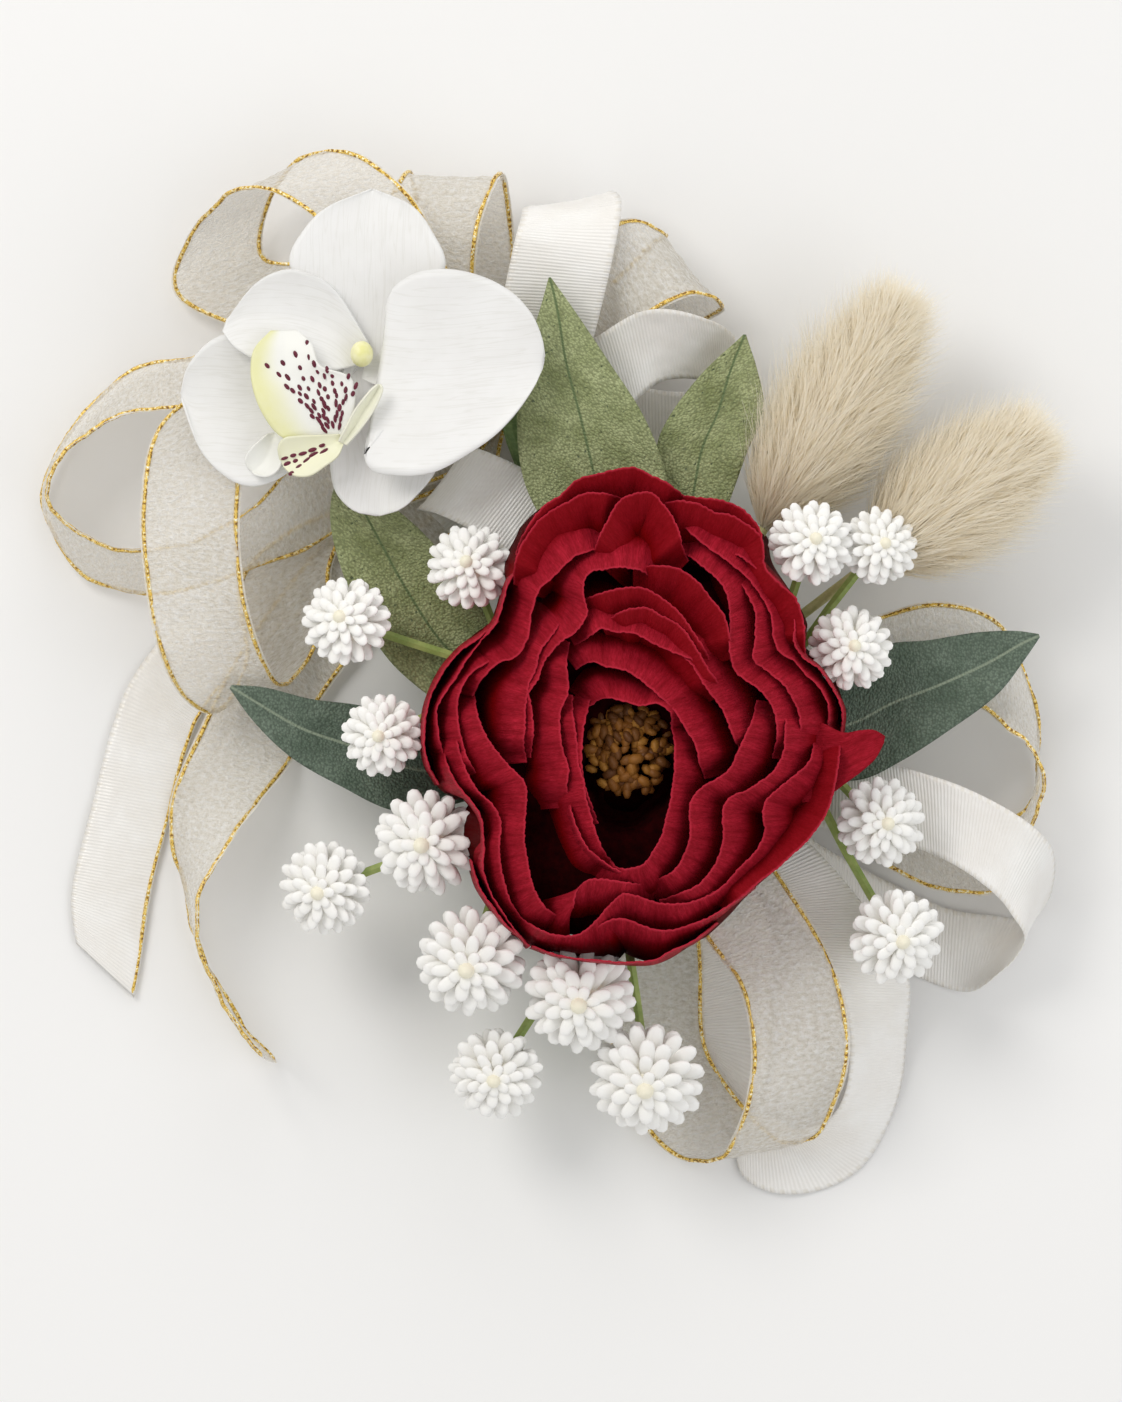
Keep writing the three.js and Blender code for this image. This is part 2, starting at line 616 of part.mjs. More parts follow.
// The moth orchid: one cloth piece of three sepals, one of two petals, a cupped lip and a column.
const orchidDepthShare = 1 / spread;
const lobes = {
  orchid_sepals: [
    [
      [-0.282, 0.380, -0.256, 0.380, 0], [-0.322, 0.445, -0.207, 0.445, 1.5],
      [-0.341, 0.480, -0.186, 0.477, 2.2], [-0.330, 0.509, -0.198, 0.509, 2.2],
      [-0.302, 0.537, -0.222, 0.539, 1.6], [-0.260, 0.554, -0.258, 0.554, 1],
    ],
    [
      [-0.275, 0.375, -0.263, 0.403, 0], [-0.318, 0.308, -0.318, 0.400, 1],
      [-0.345, 0.270, -0.362, 0.409, 1.2], [-0.380, 0.258, -0.388, 0.412, 1.2],
      [-0.412, 0.273, -0.421, 0.402, 1], [-0.434, 0.302, -0.444, 0.375, 0.8],
      [-0.449, 0.345, -0.450, 0.350, 0.6],
    ],
    [
      [-0.254, 0.398, -0.284, 0.398, 0], [-0.215, 0.325, -0.297, 0.325, 0.6],
      [-0.194, 0.282, -0.301, 0.279, 0.8], [-0.212, 0.252, -0.292, 0.247, 0.8],
      [-0.236, 0.233, -0.270, 0.231, 0.6], [-0.252, 0.229, -0.255, 0.229, 0.6],
    ],
  ],
  orchid_petals: [
    [
      [-0.262, 0.400, -0.276, 0.378, 0], [-0.296, 0.453, -0.300, 0.373, 1.2],
      [-0.324, 0.470, -0.333, 0.378, 2], [-0.352, 0.471, -0.372, 0.383, 2.2],
      [-0.378, 0.456, -0.396, 0.396, 2], [-0.404, 0.423, -0.408, 0.412, 1.6],
    ],
    [
      [-0.278, 0.382, -0.264, 0.402, 0], [-0.262, 0.300, -0.237, 0.448, 2.2],
      [-0.248, 0.269, -0.202, 0.471, 3.4], [-0.196, 0.279, -0.166, 0.471, 4],
      [-0.150, 0.308, -0.127, 0.455, 3.8], [-0.117, 0.338, -0.099, 0.428, 3.2],
      [-0.089, 0.385, -0.087, 0.399, 2.4],
    ],
  ],
  orchid_lip: [
    [
      [-0.275, 0.345, -0.262, 0.362, 0.6], [-0.300, 0.322, -0.276, 0.369, 2],
      [-0.360, 0.343, -0.309, 0.364, 5], [-0.377, 0.375, -0.311, 0.384, 6.4],
      [-0.372, 0.400, -0.324, 0.407, 6.8], [-0.346, 0.414, -0.342, 0.415, 6.6],
    ],
    [
      [-0.268, 0.350, -0.290, 0.350, 0.6], [-0.283, 0.311, -0.346, 0.323, 3],
      [-0.293, 0.291, -0.351, 0.290, 4], [-0.313, 0.272, -0.344, 0.272, 4.4],
      [-0.328, 0.268, -0.330, 0.268, 4.2],
    ],
    [
      [-0.286, 0.340, -0.276, 0.355, 0.8], [-0.278, 0.315, -0.268, 0.343, 2.6],
      [-0.260, 0.325, -0.252, 0.352, 4], [-0.250, 0.348, -0.247, 0.354, 5],
    ],
  ],
};
const orchidStack = { orchid_sepals: 0, orchid_petals: 1, orchid_lip: 2 };

function orchidPiece(name) {
  const level = (orchidLevel + orchidStack[name] * (orchidThickness + orchidCrease + gap)) / spread;
  return joined(...lobes[name].map((stationShares) => blade(
    stationShares.map(([xa, ya, xb, yb, lift]) => [xa, ya, xb, yb, level + lift * orchidDepthShare]),
    orchidThickness, orchidCrease,
  )));
}

function orchidColumn() {
  const foot = place(...orchidShare, 0);
  foot.z = orchidLevel + (orchidThickness + orchidCrease + gap) * 2;
  const tall = columnRadius * 2.6;
  const profile = [
    [0, 0], [columnRadius * 0.6, 0], [columnRadius * 0.8, tall * 0.4], [columnRadius, tall * 0.72],
    [columnRadius * 0.72, tall * 0.93], [0, tall],
  ];
  return turned(profile, foot, up, 12);
}

for (const name of Object.keys(lobes)) {
  add(name, orchidPiece(name), name === "orchid_lip" ? lipYellow : orchidWhite);
}
add("orchid_column", orchidColumn(), lipYellow);

// Ribbons: each station gives the two edges of the ribbon as shares, [x, y, z, x, y, z]. Loops leave
// the bow or the barrel at their upper end and come back to it at their lower end.
const ribbons = {
  sheer_loop_upper_left: { cloth: sheer, width: sheerWidth, bowSlots: [15, 6], stationShares: [
    [-0.265, 0.445, 0.128, -0.180, 0.460, 0.128], [-0.317, 0.524, 0.138, -0.218, 0.548, 0.138],
    [-0.375, 0.552, 0.120, -0.268, 0.594, 0.120], [-0.417, 0.545, 0.085, -0.310, 0.598, 0.085],
    [-0.454, 0.505, 0.040, -0.357, 0.555, 0.040], [-0.462, 0.455, 0.018, -0.370, 0.495, 0.018],
    [-0.392, 0.420, 0.022, -0.322, 0.485, 0.022], [-0.290, 0.385, 0.032, -0.240, 0.465, 0.032],
  ] },
  sheer_loop_top: { cloth: sheer, width: sheerWidth, bowSlots: [13, 5], stationShares: [
    [-0.240, 0.447, 0.085, -0.165, 0.447, 0.085], [-0.252, 0.520, 0.110, -0.153, 0.514, 0.110],
    [-0.241, 0.567, 0.095, -0.129, 0.565, 0.095], [-0.232, 0.573, 0.060, -0.121, 0.569, 0.060],
    [-0.224, 0.545, 0.025, -0.115, 0.533, 0.025], [-0.214, 0.475, 0.018, -0.114, 0.465, 0.018],
  ] },
  sheer_loop_upper_right: { cloth: sheer, width: sheerWidth, bowSlots: [10, 4], stationShares: [
    [-0.052, 0.432, 0.072, -0.015, 0.392, 0.072], [-0.032, 0.505, 0.100, 0.008, 0.431, 0.100],
    [0.003, 0.523, 0.098, 0.058, 0.456, 0.098], [0.036, 0.509, 0.065, 0.086, 0.445, 0.065],
    [0.018, 0.505, 0.020, 0.073, 0.427, 0.020], [-0.032, 0.455, 0.012, 0.028, 0.385, 0.012],
  ] },
  sheer_loop_left: { cloth: sheer, width: sheerWidth, bowSlots: [9, 3], stationShares: [
    [-0.332, 0.400, 0.054, -0.342, 0.340, 0.086], [-0.434, 0.395, 0.022, -0.449, 0.338, 0.095],
    [-0.505, 0.380, 0.010, -0.516, 0.330, 0.096], [-0.574, 0.311, 0.008, -0.568, 0.293, 0.104],
    [-0.596, 0.242, 0.006, -0.589, 0.250, 0.104], [-0.566, 0.181, 0.008, -0.557, 0.215, 0.100],
    [-0.497, 0.150, 0.012, -0.493, 0.194, 0.100], [-0.372, 0.185, 0.042, -0.382, 0.230, 0.106],
    [-0.262, 0.245, 0.042, -0.290, 0.325, 0.042],
  ] },
  sheer_loop_lower_left: { cloth: sheer, width: sheerWidth, bowSlots: [12, 2], stationShares: [
    [-0.292, 0.387, 0.090, -0.282, 0.307, 0.090], [-0.460, 0.330, 0.132, -0.378, 0.355, 0.132],
    [-0.490, 0.242, 0.142, -0.392, 0.242, 0.142], [-0.488, 0.166, 0.138, -0.387, 0.160, 0.138],
    [-0.474, 0.092, 0.118, -0.374, 0.106, 0.118], [-0.447, 0.045, 0.078, -0.355, 0.060, 0.078],
    [-0.417, 0.033, 0.038, -0.332, 0.075, 0.038], [-0.392, 0.085, 0.026, -0.304, 0.135, 0.026],
    [-0.392, 0.165, 0.024, -0.306, 0.185, 0.024], [-0.310, 0.235, 0.029, -0.255, 0.285, 0.029],
  ] },
  satin_loop_top: { cloth: satin, width: sheerWidth, bowSlots: [14, 7], stationShares: [
    [-0.131, 0.427, 0.100, -0.041, 0.417, 0.100], [-0.115, 0.505, 0.124, -0.020, 0.495, 0.124],
    [-0.100, 0.533, 0.105, -0.020, 0.540, 0.105], [-0.092, 0.540, 0.090, -0.036, 0.552, 0.050],
    [-0.102, 0.510, 0.046, -0.022, 0.505, 0.046], [-0.122, 0.445, 0.050, -0.042, 0.425, 0.050],
  ] },
  satin_loop_upper_right: { cloth: satin, width: satinWidth, bowSlots: [11, 8], stationShares: [
    [-0.036, 0.397, 0.086, -0.020, 0.342, 0.086], [0.018, 0.427, 0.116, 0.028, 0.374, 0.090],
    [0.073, 0.420, 0.100, 0.080, 0.373, 0.065], [0.103, 0.400, 0.060, 0.103, 0.345, 0.030],
    [0.068, 0.350, 0.030, 0.068, 0.290, 0.030], [-0.012, 0.355, 0.034, -0.012, 0.295, 0.034],
  ] },
  satin_tail: { cloth: satin, width: satinWidth, bowSlots: [0], stationShares: [
    [-0.272, 0.275, 0.010, -0.232, 0.195, 0.010], [-0.402, 0.185, 0.004, -0.362, 0.105, 0.004],
    [-0.498, 0.075, 0.004, -0.437, 0.030, 0.004], [-0.522, 0.020, 0.004, -0.450, 0, 0.004],
    [-0.543, -0.056, 0.004, -0.467, -0.070, 0.004], [-0.567, -0.142, 0.004, -0.486, -0.160, 0.004],
    [-0.574, -0.190, 0.004, -0.491, -0.268, 0.004],
  ] },
  sheer_tail: { cloth: sheer, width: sheerWidth, bowSlots: [1], stationShares: [
    [-0.272, 0.245, 0.019, -0.212, 0.185, 0.019], [-0.382, 0.105, 0.013, -0.322, 0.045, 0.013],
    [-0.432, 0.010, 0.014, -0.349, -0.013, 0.014], [-0.464, -0.073, 0.014, -0.397, -0.080, 0.070],
    [-0.454, -0.145, 0.008, -0.432, -0.145, 0.102], [-0.440, -0.200, 0.004, -0.434, -0.205, 0.104],
    [-0.397, -0.280, 0.004, -0.400, -0.277, 0.104], [-0.359, -0.323, 0.004, -0.370, -0.313, 0.104],
  ] },
  satin_bridge_loop: { cloth: satin, width: satinWidth, barrelLevels: [0.096, 0.070], stationShares: [
    [-0.072, 0.125, 0.104, -0.042, 0.165, 0.104], [-0.127, 0.195, 0.120, -0.082, 0.255, 0.120],
    [-0.182, 0.235, 0.112, -0.142, 0.283, 0.112], [-0.205, 0.248, 0.085, -0.175, 0.288, 0.085],
    [-0.192, 0.238, 0.062, -0.152, 0.278, 0.062], [-0.132, 0.165, 0.054, -0.087, 0.210, 0.054],
  ] },
  sheer_loop_bottom: { cloth: sheer, width: sheerWidth, barrelLevels: [0.097, 0.076], stationShares: [
    [0.089, -0.181, 0.108, 0.138, -0.150, 0.108], [0.116, -0.240, 0.122, 0.196, -0.230, 0.122],
    [0.125, -0.312, 0.118, 0.213, -0.303, 0.118], [0.113, -0.370, 0.095, 0.206, -0.353, 0.095],
    [0.092, -0.415, 0.055, 0.183, -0.397, 0.055], [0.058, -0.420, 0.022, 0.148, -0.400, 0.022],
    [0.023, -0.390, 0.012, 0.103, -0.360, 0.012], [-0.012, -0.305, 0.012, 0.068, -0.305, 0.012],
    [-0.012, -0.215, 0.030, 0.058, -0.215, 0.030],
  ] },
  satin_loop_bottom: { cloth: satin, width: satinWidth, barrelLevels: [0.086, 0.069], stationShares: [
    [0.158, -0.160, 0.085, 0.218, -0.155, 0.085], [0.202, -0.217, 0.088, 0.266, -0.220, 0.080],
    [0.224, -0.285, 0.075, 0.275, -0.285, 0.030], [0.218, -0.365, 0.050, 0.261, -0.363, 0.012],
    [0.183, -0.400, 0.025, 0.213, -0.425, 0.006], [0.138, -0.385, 0.005, 0.143, -0.443, 0.005],
    [0.103, -0.355, 0.004, 0.108, -0.421, 0.004], [0.068, -0.275, 0.004, 0.138, -0.265, 0.004],
    [0.068, -0.200, 0.026, 0.133, -0.180, 0.026],
  ] },
  sheer_loop_right: { cloth: sheer, width: sheerWidth, barrelLevels: [0.088, 0.070], stationShares: [
    [0.230, 0.120, 0.080, 0.228, 0.030, 0.080], [0.310, 0.134, 0.090, 0.318, 0.055, 0.090],
    [0.364, 0.116, 0.085, 0.362, 0.040, 0.090], [0.405, 0.038, 0.030, 0.400, 0.000, 0.100],
    [0.412, -0.015, 0.012, 0.411, -0.050, 0.090], [0.393, -0.075, 0.010, 0.385, -0.110, 0.070],
    [0.338, -0.095, 0.012, 0.353, -0.140, 0.060], [0.258, -0.045, 0.020, 0.262, -0.113, 0.040],
    [0.190, 0.015, 0.045, 0.195, -0.045, 0.045],
  ] },
  satin_loop_right: { cloth: satin, width: satinWidth, barrelLevels: [0.094, 0.080], stationShares: [
    [0.265, -0.025, 0.099, 0.273, -0.095, 0.099], [0.341, -0.049, 0.112, 0.333, -0.123, 0.112],
    [0.410, -0.097, 0.105, 0.378, -0.157, 0.105], [0.422, -0.145, 0.040, 0.395, -0.193, 0.085],
    [0.398, -0.180, 0.004, 0.368, -0.230, 0.035], [0.338, -0.170, 0.004, 0.331, -0.250, 0.004],
    [0.268, -0.145, 0.006, 0.263, -0.220, 0.006], [0.174, -0.100, 0.040, 0.166, -0.160, 0.040],
  ] },
};
const ribbonSteps = 26;
const pinchLength = 12; // the stretch over which a gathered end opens to the full width
const bindRun = 11; // how far a bound end runs level before it fans out

// Centre and width direction of a ribbon's bound end, from the next station out.
function boundEnd(anchor, next) {
  const out = next.centre.clone().sub(anchor).setZ(0).normalize();
  const side = new THREE.Vector3(-out.y, out.x, 0);
  if (side.dot(next.side) < 0) side.negate();
  return [
    { centre: anchor, side },
    { centre: anchor.clone().addScaledVector(out, bindRun), side: side.clone() },
  ];
}

function ribbonStations({ bowSlots, barrelLevels, stationShares }) {
  const stations = stationShares.map(([xa, ya, za, xb, yb, zb]) => {
    const a = place(xa, ya, za);
    const b = place(xb, yb, zb);
    return { centre: a.clone().lerp(b, 0.5), side: b.sub(a).normalize() };
  });
  const ends = bowSlots ?? barrelLevels;
  const anchorAt = (end, next) => (bowSlots
    ? place(...bowShare, 0).setZ(bowLevel + end * bowPitch)
    : barrelSide(next.centre, end * spread));
  const first = boundEnd(anchorAt(ends[0], stations[0]), stations[0]);
  if (ends.length === 1) return [...first, ...stations];
  const next = stations.at(-1);
  const last = boundEnd(anchorAt(ends[1], next), next);
  return [...first, ...stations, ...last.reverse()];
}

function ribbon(row) {
  const stations = ribbonStations(row);
  const route = new THREE.CatmullRomCurve3(stations.map(({ centre }) => centre));
  const sides = new THREE.CatmullRomCurve3(stations.map(({ side }) => side));
  const length = route.getLength();
  const freeEnd = (row.bowSlots ?? row.barrelLevels).length === 1;
  const rows = Array.from({ length: ribbonSteps + 1 }, (_, k) => {
    const t = k / ribbonSteps;
    const centre = route.getPoint(t);
    const run = Math.min(t, freeEnd ? 1 : 1 - t) * length;
    const width = THREE.MathUtils.lerp(pinchedWidth, row.width, THREE.MathUtils.smoothstep(run, 0, pinchLength));
    const half = sides.getPoint(t).normalize().multiplyScalar(width / 2);
    return [centre.clone().sub(half), centre.clone().add(half)];
  });
  return sheetSolid(rows, ribbonThickness);
}

for (const [name, row] of Object.entries(ribbons)) add(name, ribbon(row), row.cloth);

// The origin is the middle of the corsage on the surface that it lies on.
const outline = new THREE.Box3().setFromObject(corsage);
const middle = outline.getCenter(new THREE.Vector3());
corsage.position.set(-middle.x, -middle.y, -outline.min.z);

export default corsage;
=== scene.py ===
"""Looks of the corsage: cloth petals, leaves, ribbons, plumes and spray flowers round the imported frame."""
import math

import bpy
import numpy as np
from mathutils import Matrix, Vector


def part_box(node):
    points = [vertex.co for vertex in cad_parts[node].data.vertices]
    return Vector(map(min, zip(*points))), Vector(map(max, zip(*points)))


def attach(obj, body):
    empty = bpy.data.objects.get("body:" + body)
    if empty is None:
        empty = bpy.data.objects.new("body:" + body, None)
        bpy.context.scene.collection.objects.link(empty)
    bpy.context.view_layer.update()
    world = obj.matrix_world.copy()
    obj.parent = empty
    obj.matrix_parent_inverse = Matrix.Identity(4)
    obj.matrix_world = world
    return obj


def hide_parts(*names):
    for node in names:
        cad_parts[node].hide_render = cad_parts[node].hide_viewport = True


bl_info = {
    "name": "Corsage",
    "version": (1, 0, 0),
    "blender": (4, 5, 0),
    "location": "View3D > Sidebar > Corsage",
    "description": "Builds the cloth flowers, ribbons and stage of a pin-on corsage",
    "category": "Object",
}

MM = 0.001
STEP = 0.15 * MM  # one step of the shape tables
TABLE_HUB = (632, 745)  # the tables give x to the right and y down, with the hub of the corsage here
SHEET_THICKNESS = 0.18 * MM
SPLINE_PIECES = 16  # short lines between two points of a spline

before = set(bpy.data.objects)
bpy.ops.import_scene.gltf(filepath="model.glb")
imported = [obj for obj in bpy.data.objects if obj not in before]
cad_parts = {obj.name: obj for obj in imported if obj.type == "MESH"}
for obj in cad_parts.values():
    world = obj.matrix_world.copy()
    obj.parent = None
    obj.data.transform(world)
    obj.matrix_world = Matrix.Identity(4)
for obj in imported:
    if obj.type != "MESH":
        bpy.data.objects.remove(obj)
low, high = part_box("stem_binding")
HUB = ((low[0] + high[0]) / 2, (low[1] + high[1]) / 2)


def at(x, y, z):
    """A table point, with its height in millimetres, in metres."""
    return (HUB[0] + (x - TABLE_HUB[0]) * STEP, HUB[1] + (TABLE_HUB[1] - y) * STEP, z * MM)


def settings():
    """What the sidebar panel sets."""
    return bpy.context.scene.corsage


def smooth(t, low=0.0, high=1.0):
    """Goes from 0 at low to 1 at high, and is level at both."""
    t = np.clip((np.asarray(t, float) - low) / (high - low), 0, 1)
    return t * t * (3 - 2 * t)


def unit(vectors):
    """The vectors, each made one long."""
    return vectors / np.linalg.norm(vectors, axis=-1, keepdims=True)


def running(line):
    """How far along a line each of its points is."""
    return np.concatenate([[0], np.cumsum(np.linalg.norm(np.diff(line, axis=0), axis=1))])


def circle(turn, side, up):
    """Ways out from a middle, one for each turn from side towards up."""
    return np.cos(turn)[:, None, None] * side + np.sin(turn)[:, None, None] * up


def spline(points, count):
    """A smooth line through the points, as count points at even distances. Only x, y and z set the pace."""
    p = np.asarray(points, float)
    ends = np.vstack([2 * p[0] - p[1], p, 2 * p[-1] - p[-2]])
    gaps = np.maximum(np.linalg.norm(np.diff(ends[:, :3], axis=0), axis=1), 1e-9) ** 0.5
    t = np.linspace(0, 1, SPLINE_PIECES + 1)[:-1, None]
    dense = []
    for k in range(len(p) - 1):
        a, b, c, d = ends[k : k + 4]
        g, h, i = gaps[k : k + 3]
        start = ((b - a) / g - (c - a) / (g + h) + (c - b) / h) * h
        stop = ((c - b) / h - (d - b) / (h + i) + (d - c) / i) * h
        from_b, from_c = 2 * t**3 - 3 * t**2 + 1, 3 * t**2 - 2 * t**3
        dense.append(b * from_b + start * (t**3 - 2 * t**2 + t) + c * from_c + stop * (t**3 - t**2))
    dense = np.vstack(dense + [p[-1:]])
    run = running(dense[:, :3])
    want = np.linspace(0, run[-1], count)
    return np.stack([np.interp(want, run, dense[:, k]) for k in range(p.shape[1])], axis=1)


def ripple(rng, t, waves, depth):
    """A seeded sum of waves along t, about depth high."""
    total = np.zeros_like(t)
    for wave in waves:
        total += np.sin(t * wave * rng.uniform(0.8, 1.2) + rng.uniform(0, 2 * math.pi)) * rng.uniform(0.5, 1)
    return total * depth / math.sqrt(len(waves))


class Cloth:
    """Grids of points that become one mesh, with a place on the cloth (UV) and a shade at each point."""

    def __init__(self):
        self.points, self.faces, self.places, self.shades, self.area = [], [], [], [], 0.0
        self.count = 0

    def grid(self, rows, places, shade=0.0, closed=False):
        rows = np.asarray(rows, float)
        n, m = rows.shape[:2]
        index = self.count + np.arange(n * m).reshape(n, m)
        if closed:
            index = np.vstack([index, index[:1]])
        a, b, c, d = index[:-1, :-1], index[1:, :-1], index[1:, 1:], index[:-1, 1:]
        self.faces.append(np.stack([a, b, c, d], axis=-1).reshape(-1, 4))
        self.points.append(rows.reshape(-1, 3))
        self.places.append(np.broadcast_to(places, (n, m, 2)).reshape(-1, 2))
        self.shades.append(np.broadcast_to(shade, (n, m)).reshape(-1))
        self.count += n * m

    def strips(self, points, shade):
        """Many narrow strips at once: points by strip, step and edge."""
        index = self.count + np.arange(points[..., 0].size).reshape(points.shape[:3])
        corners = index[:, :-1, 0], index[:, 1:, 0], index[:, 1:, 1], index[:, :-1, 1]
        self.faces.append(np.stack(corners, -1).reshape(-1, 4))
        self.points.append(points.reshape(-1, 3))
        self.places.append(np.zeros((index.size, 2)))
        self.shades.append(np.broadcast_to(shade, index.shape).reshape(-1))
        self.count += index.size

    def build(self, name, material, thickness=0.0):
        points, faces = np.vstack(self.points), np.vstack(self.faces)
        mesh = bpy.data.meshes.new(name)
        mesh.from_pydata(points.tolist(), [], faces.tolist())
        uv = mesh.uv_layers.new(name="cloth")
        uv.data.foreach_set("uv", np.vstack(self.places)[faces.reshape(-1)].astype(np.float32).reshape(-1))
        shade = mesh.attributes.new("shade", "FLOAT", "POINT")
        shade.data.foreach_set("value", np.concatenate(self.shades).astype(np.float32))
        mesh.polygons.foreach_set("use_smooth", [True] * len(mesh.polygons))
        mesh.materials.append(material)
        piece = bpy.data.objects.new(name, mesh)
        bpy.context.scene.collection.objects.link(piece)
        if thickness:
            skin = piece.modifiers.new("thickness", "SOLIDIFY")
            skin.thickness, skin.offset = thickness, 0
        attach(piece, "root")
        return piece


class Paint:
    """Node material maker: adds nodes and links them by short calls."""

    def __init__(self, name):
        found = bpy.data.materials.get(name)
        self.material = found or bpy.data.materials.new(name)
        self.material.use_nodes = True
        self.nodes, self.links = self.material.node_tree.nodes, self.material.node_tree.links
        self.nodes.clear()
        self.out = self.nodes.new("ShaderNodeOutputMaterial")
        self.skin = self.nodes.new("ShaderNodeBsdfPrincipled")
        self.links.new(self.skin.outputs[0], self.out.inputs["Surface"])

    def set(self, **values):
        for name, value in values.items():
            socket = self.skin.inputs[name.replace("_", " ")]
            if isinstance(value, bpy.types.NodeSocket):
                self.links.new(value, socket)
            else:
                socket.default_value = (*value, 1) if socket.type == "RGBA" else value

    def node(self, kind, inputs=None, **settings):
        node = self.nodes.new("ShaderNode" + kind)
        for name, value in settings.items():
            setattr(node, name, value)
        for name, value in (inputs or {}).items():
            if isinstance(value, bpy.types.NodeSocket):
                self.links.new(value, node.inputs[name])
            else:
                node.inputs[name].default_value = value
        return node

    def places(self, scale=(1, 1, 1), where="UV"):
        source = self.node("TexCoord").outputs[where]
        return self.node("Mapping", {"Vector": source, "Scale": scale}).outputs[0]

    def noise(self, vector, scale, detail=3.0, rough=0.6):
        inputs = {"Vector": vector, "Scale": scale, "Detail": detail, "Roughness": rough}
        return self.node("TexNoise", inputs).outputs["Fac"]

    def ramp(self, value, *stops):
        node = self.node("ValToRGB", {"Fac": value})
        ramp = node.color_ramp
        for (place, color), element in zip(stops, [ramp.elements[0], ramp.elements[1]]):
            element.position, element.color = place, (*color, 1)
        for place, color in stops[2:]:
            ramp.elements.new(place).color = (*color, 1)
        return node.outputs["Color"]

    def grey(self, value, low, high, floor=0.0, top=1.0):
        inputs = {"Value": value, "From Min": low, "From Max": high, "To Min": floor, "To Max": top}
        return self.node("MapRange", inputs).outputs[0]

    def math(self, kind, a, b=0.0):
        return self.node("Math", {0: a, 1: b}, operation=kind).outputs[0]

    def mix(self, fac, a, b):
        node = self.node("Mix", data_type="RGBA")
        for socket, value in ((node.inputs[0], fac), (node.inputs[6], a), (node.inputs[7], b)):
            if isinstance(value, bpy.types.NodeSocket):
                self.links.new(value, socket)
            else:
                socket.default_value = (*value, 1) if isinstance(value, tuple) else value
        return node.outputs[2]

    def shade(self):
        return self.node("Attribute", attribute_name="shade").outputs["Fac"]

    def translucent(self, color, share):
        """Lets part of the light through, as thin cloth and hair do."""
        through = self.node("BsdfTranslucent", {"Color": color})
        both = self.node("MixShader", {0: share, 1: self.skin.outputs[0], 2: through.outputs[0]})
        self.links.new(both.outputs[0], self.out.inputs["Surface"])

    def see_through(self, woven):
        """Leaves the gaps of a weave open; woven is the share of it that is thread."""
        cloth = self.out.inputs["Surface"].links[0].from_socket
        open_weave = self.node("BsdfTransparent")
        both = self.node("MixShader", {0: woven, 1: open_weave.outputs[0], 2: cloth})
        self.links.new(both.outputs[0], self.out.inputs["Surface"])

    def bump(self, height, strength=0.5, distance=0.2):
        return self.node("Bump", {"Height": height, "Strength": strength, "Distance": distance * MM}).outputs[0]


def petal_paint():
    p = Paint("wine_petal")
    crepe = p.noise(p.places((7, 1.1, 1)), 1.0, 4.0, 0.65)
    mottled = p.noise(p.places((0.35, 0.35, 1)), 1.0, 3.0, 0.6)
    lit = p.ramp(crepe, (0.3, (0.28, 0.005, 0.013)), (0.72, (0.56, 0.022, 0.05)))
    streak = p.noise(p.places((1.5, 0.16, 1)), 1.0, 3.0, 0.6)
    lit = p.mix(p.grey(streak, 0.4, 0.7, 0.0, 0.6), lit, (0.14, 0.0015, 0.004))
    lit = p.mix(p.grey(mottled, 0.35, 0.7, 0.0, 0.5), lit, (0.17, 0.002, 0.006))
    # Painted shade: the shade attribute turns the lit red into this darker red (0 to 0.5), then into near-black (0.5
    # to 1) for the deep shadow under the petals and in the cup.
    inner = p.ramp(crepe, (0.3, (0.17, 0.0006, 0.002)), (0.8, (0.25, 0.0012, 0.0035)))
    color = p.mix(p.grey(p.shade(), 0.0, 0.5), lit, inner)
    color = p.mix(p.grey(p.shade(), 0.5, 1.0), color, (0.010, 0.0001, 0.0002))
    # The lighter line along each rim is the cloth's cut edge together with a painted highlight where the light
    # catches it.
    rim = p.node("SeparateXYZ", {0: p.places()}).outputs[1]
    edge = p.grey(rim, 0.02, 0.32, 0.7, 0.0)
    color = p.mix(edge, color, (0.55, 0.03, 0.06))
    p.set(Base_Color=color, Roughness=0.6, Specular_IOR_Level=0.06, Normal=p.bump(crepe, 0.7, 0.25))
    return p.material


def leaf_paint(name, base, light, vein, speck):
    p = Paint(name)
    pebble = p.node("TexVoronoi", {"Vector": p.places((2.6, 2.6, 1)), "Scale": 1.0}).outputs["Distance"]
    cloud = p.noise(p.places((0.16, 0.16, 1)), 1.0, 3.0)
    color = p.mix(p.grey(cloud, 0.35, 0.68), base, light)
    dots = p.noise(p.places((1.3, 1.3, 1)), 1.0, 2.0, 0.5)
    color = p.mix(p.grey(dots, 0.66, 0.7, 0.0, speck), color, (0.03, 0.06, 0.035))
    color = p.mix(p.grey(pebble, 0.3, 0.65, 0.0, 0.55), color, tuple(c * 0.5 for c in base))
    across = p.math("ABSOLUTE", p.node("SeparateXYZ", {0: p.places()}).outputs[0])
    line = p.ramp(across, (0.1, (1, 1, 1)), (0.28, (0, 0, 0)))
    color = p.mix(line, color, vein)
    p.set(Base_Color=color, Roughness=0.6, Specular_IOR_Level=0.35, Normal=p.bump(pebble, 0.9, 0.25))
    return p.material


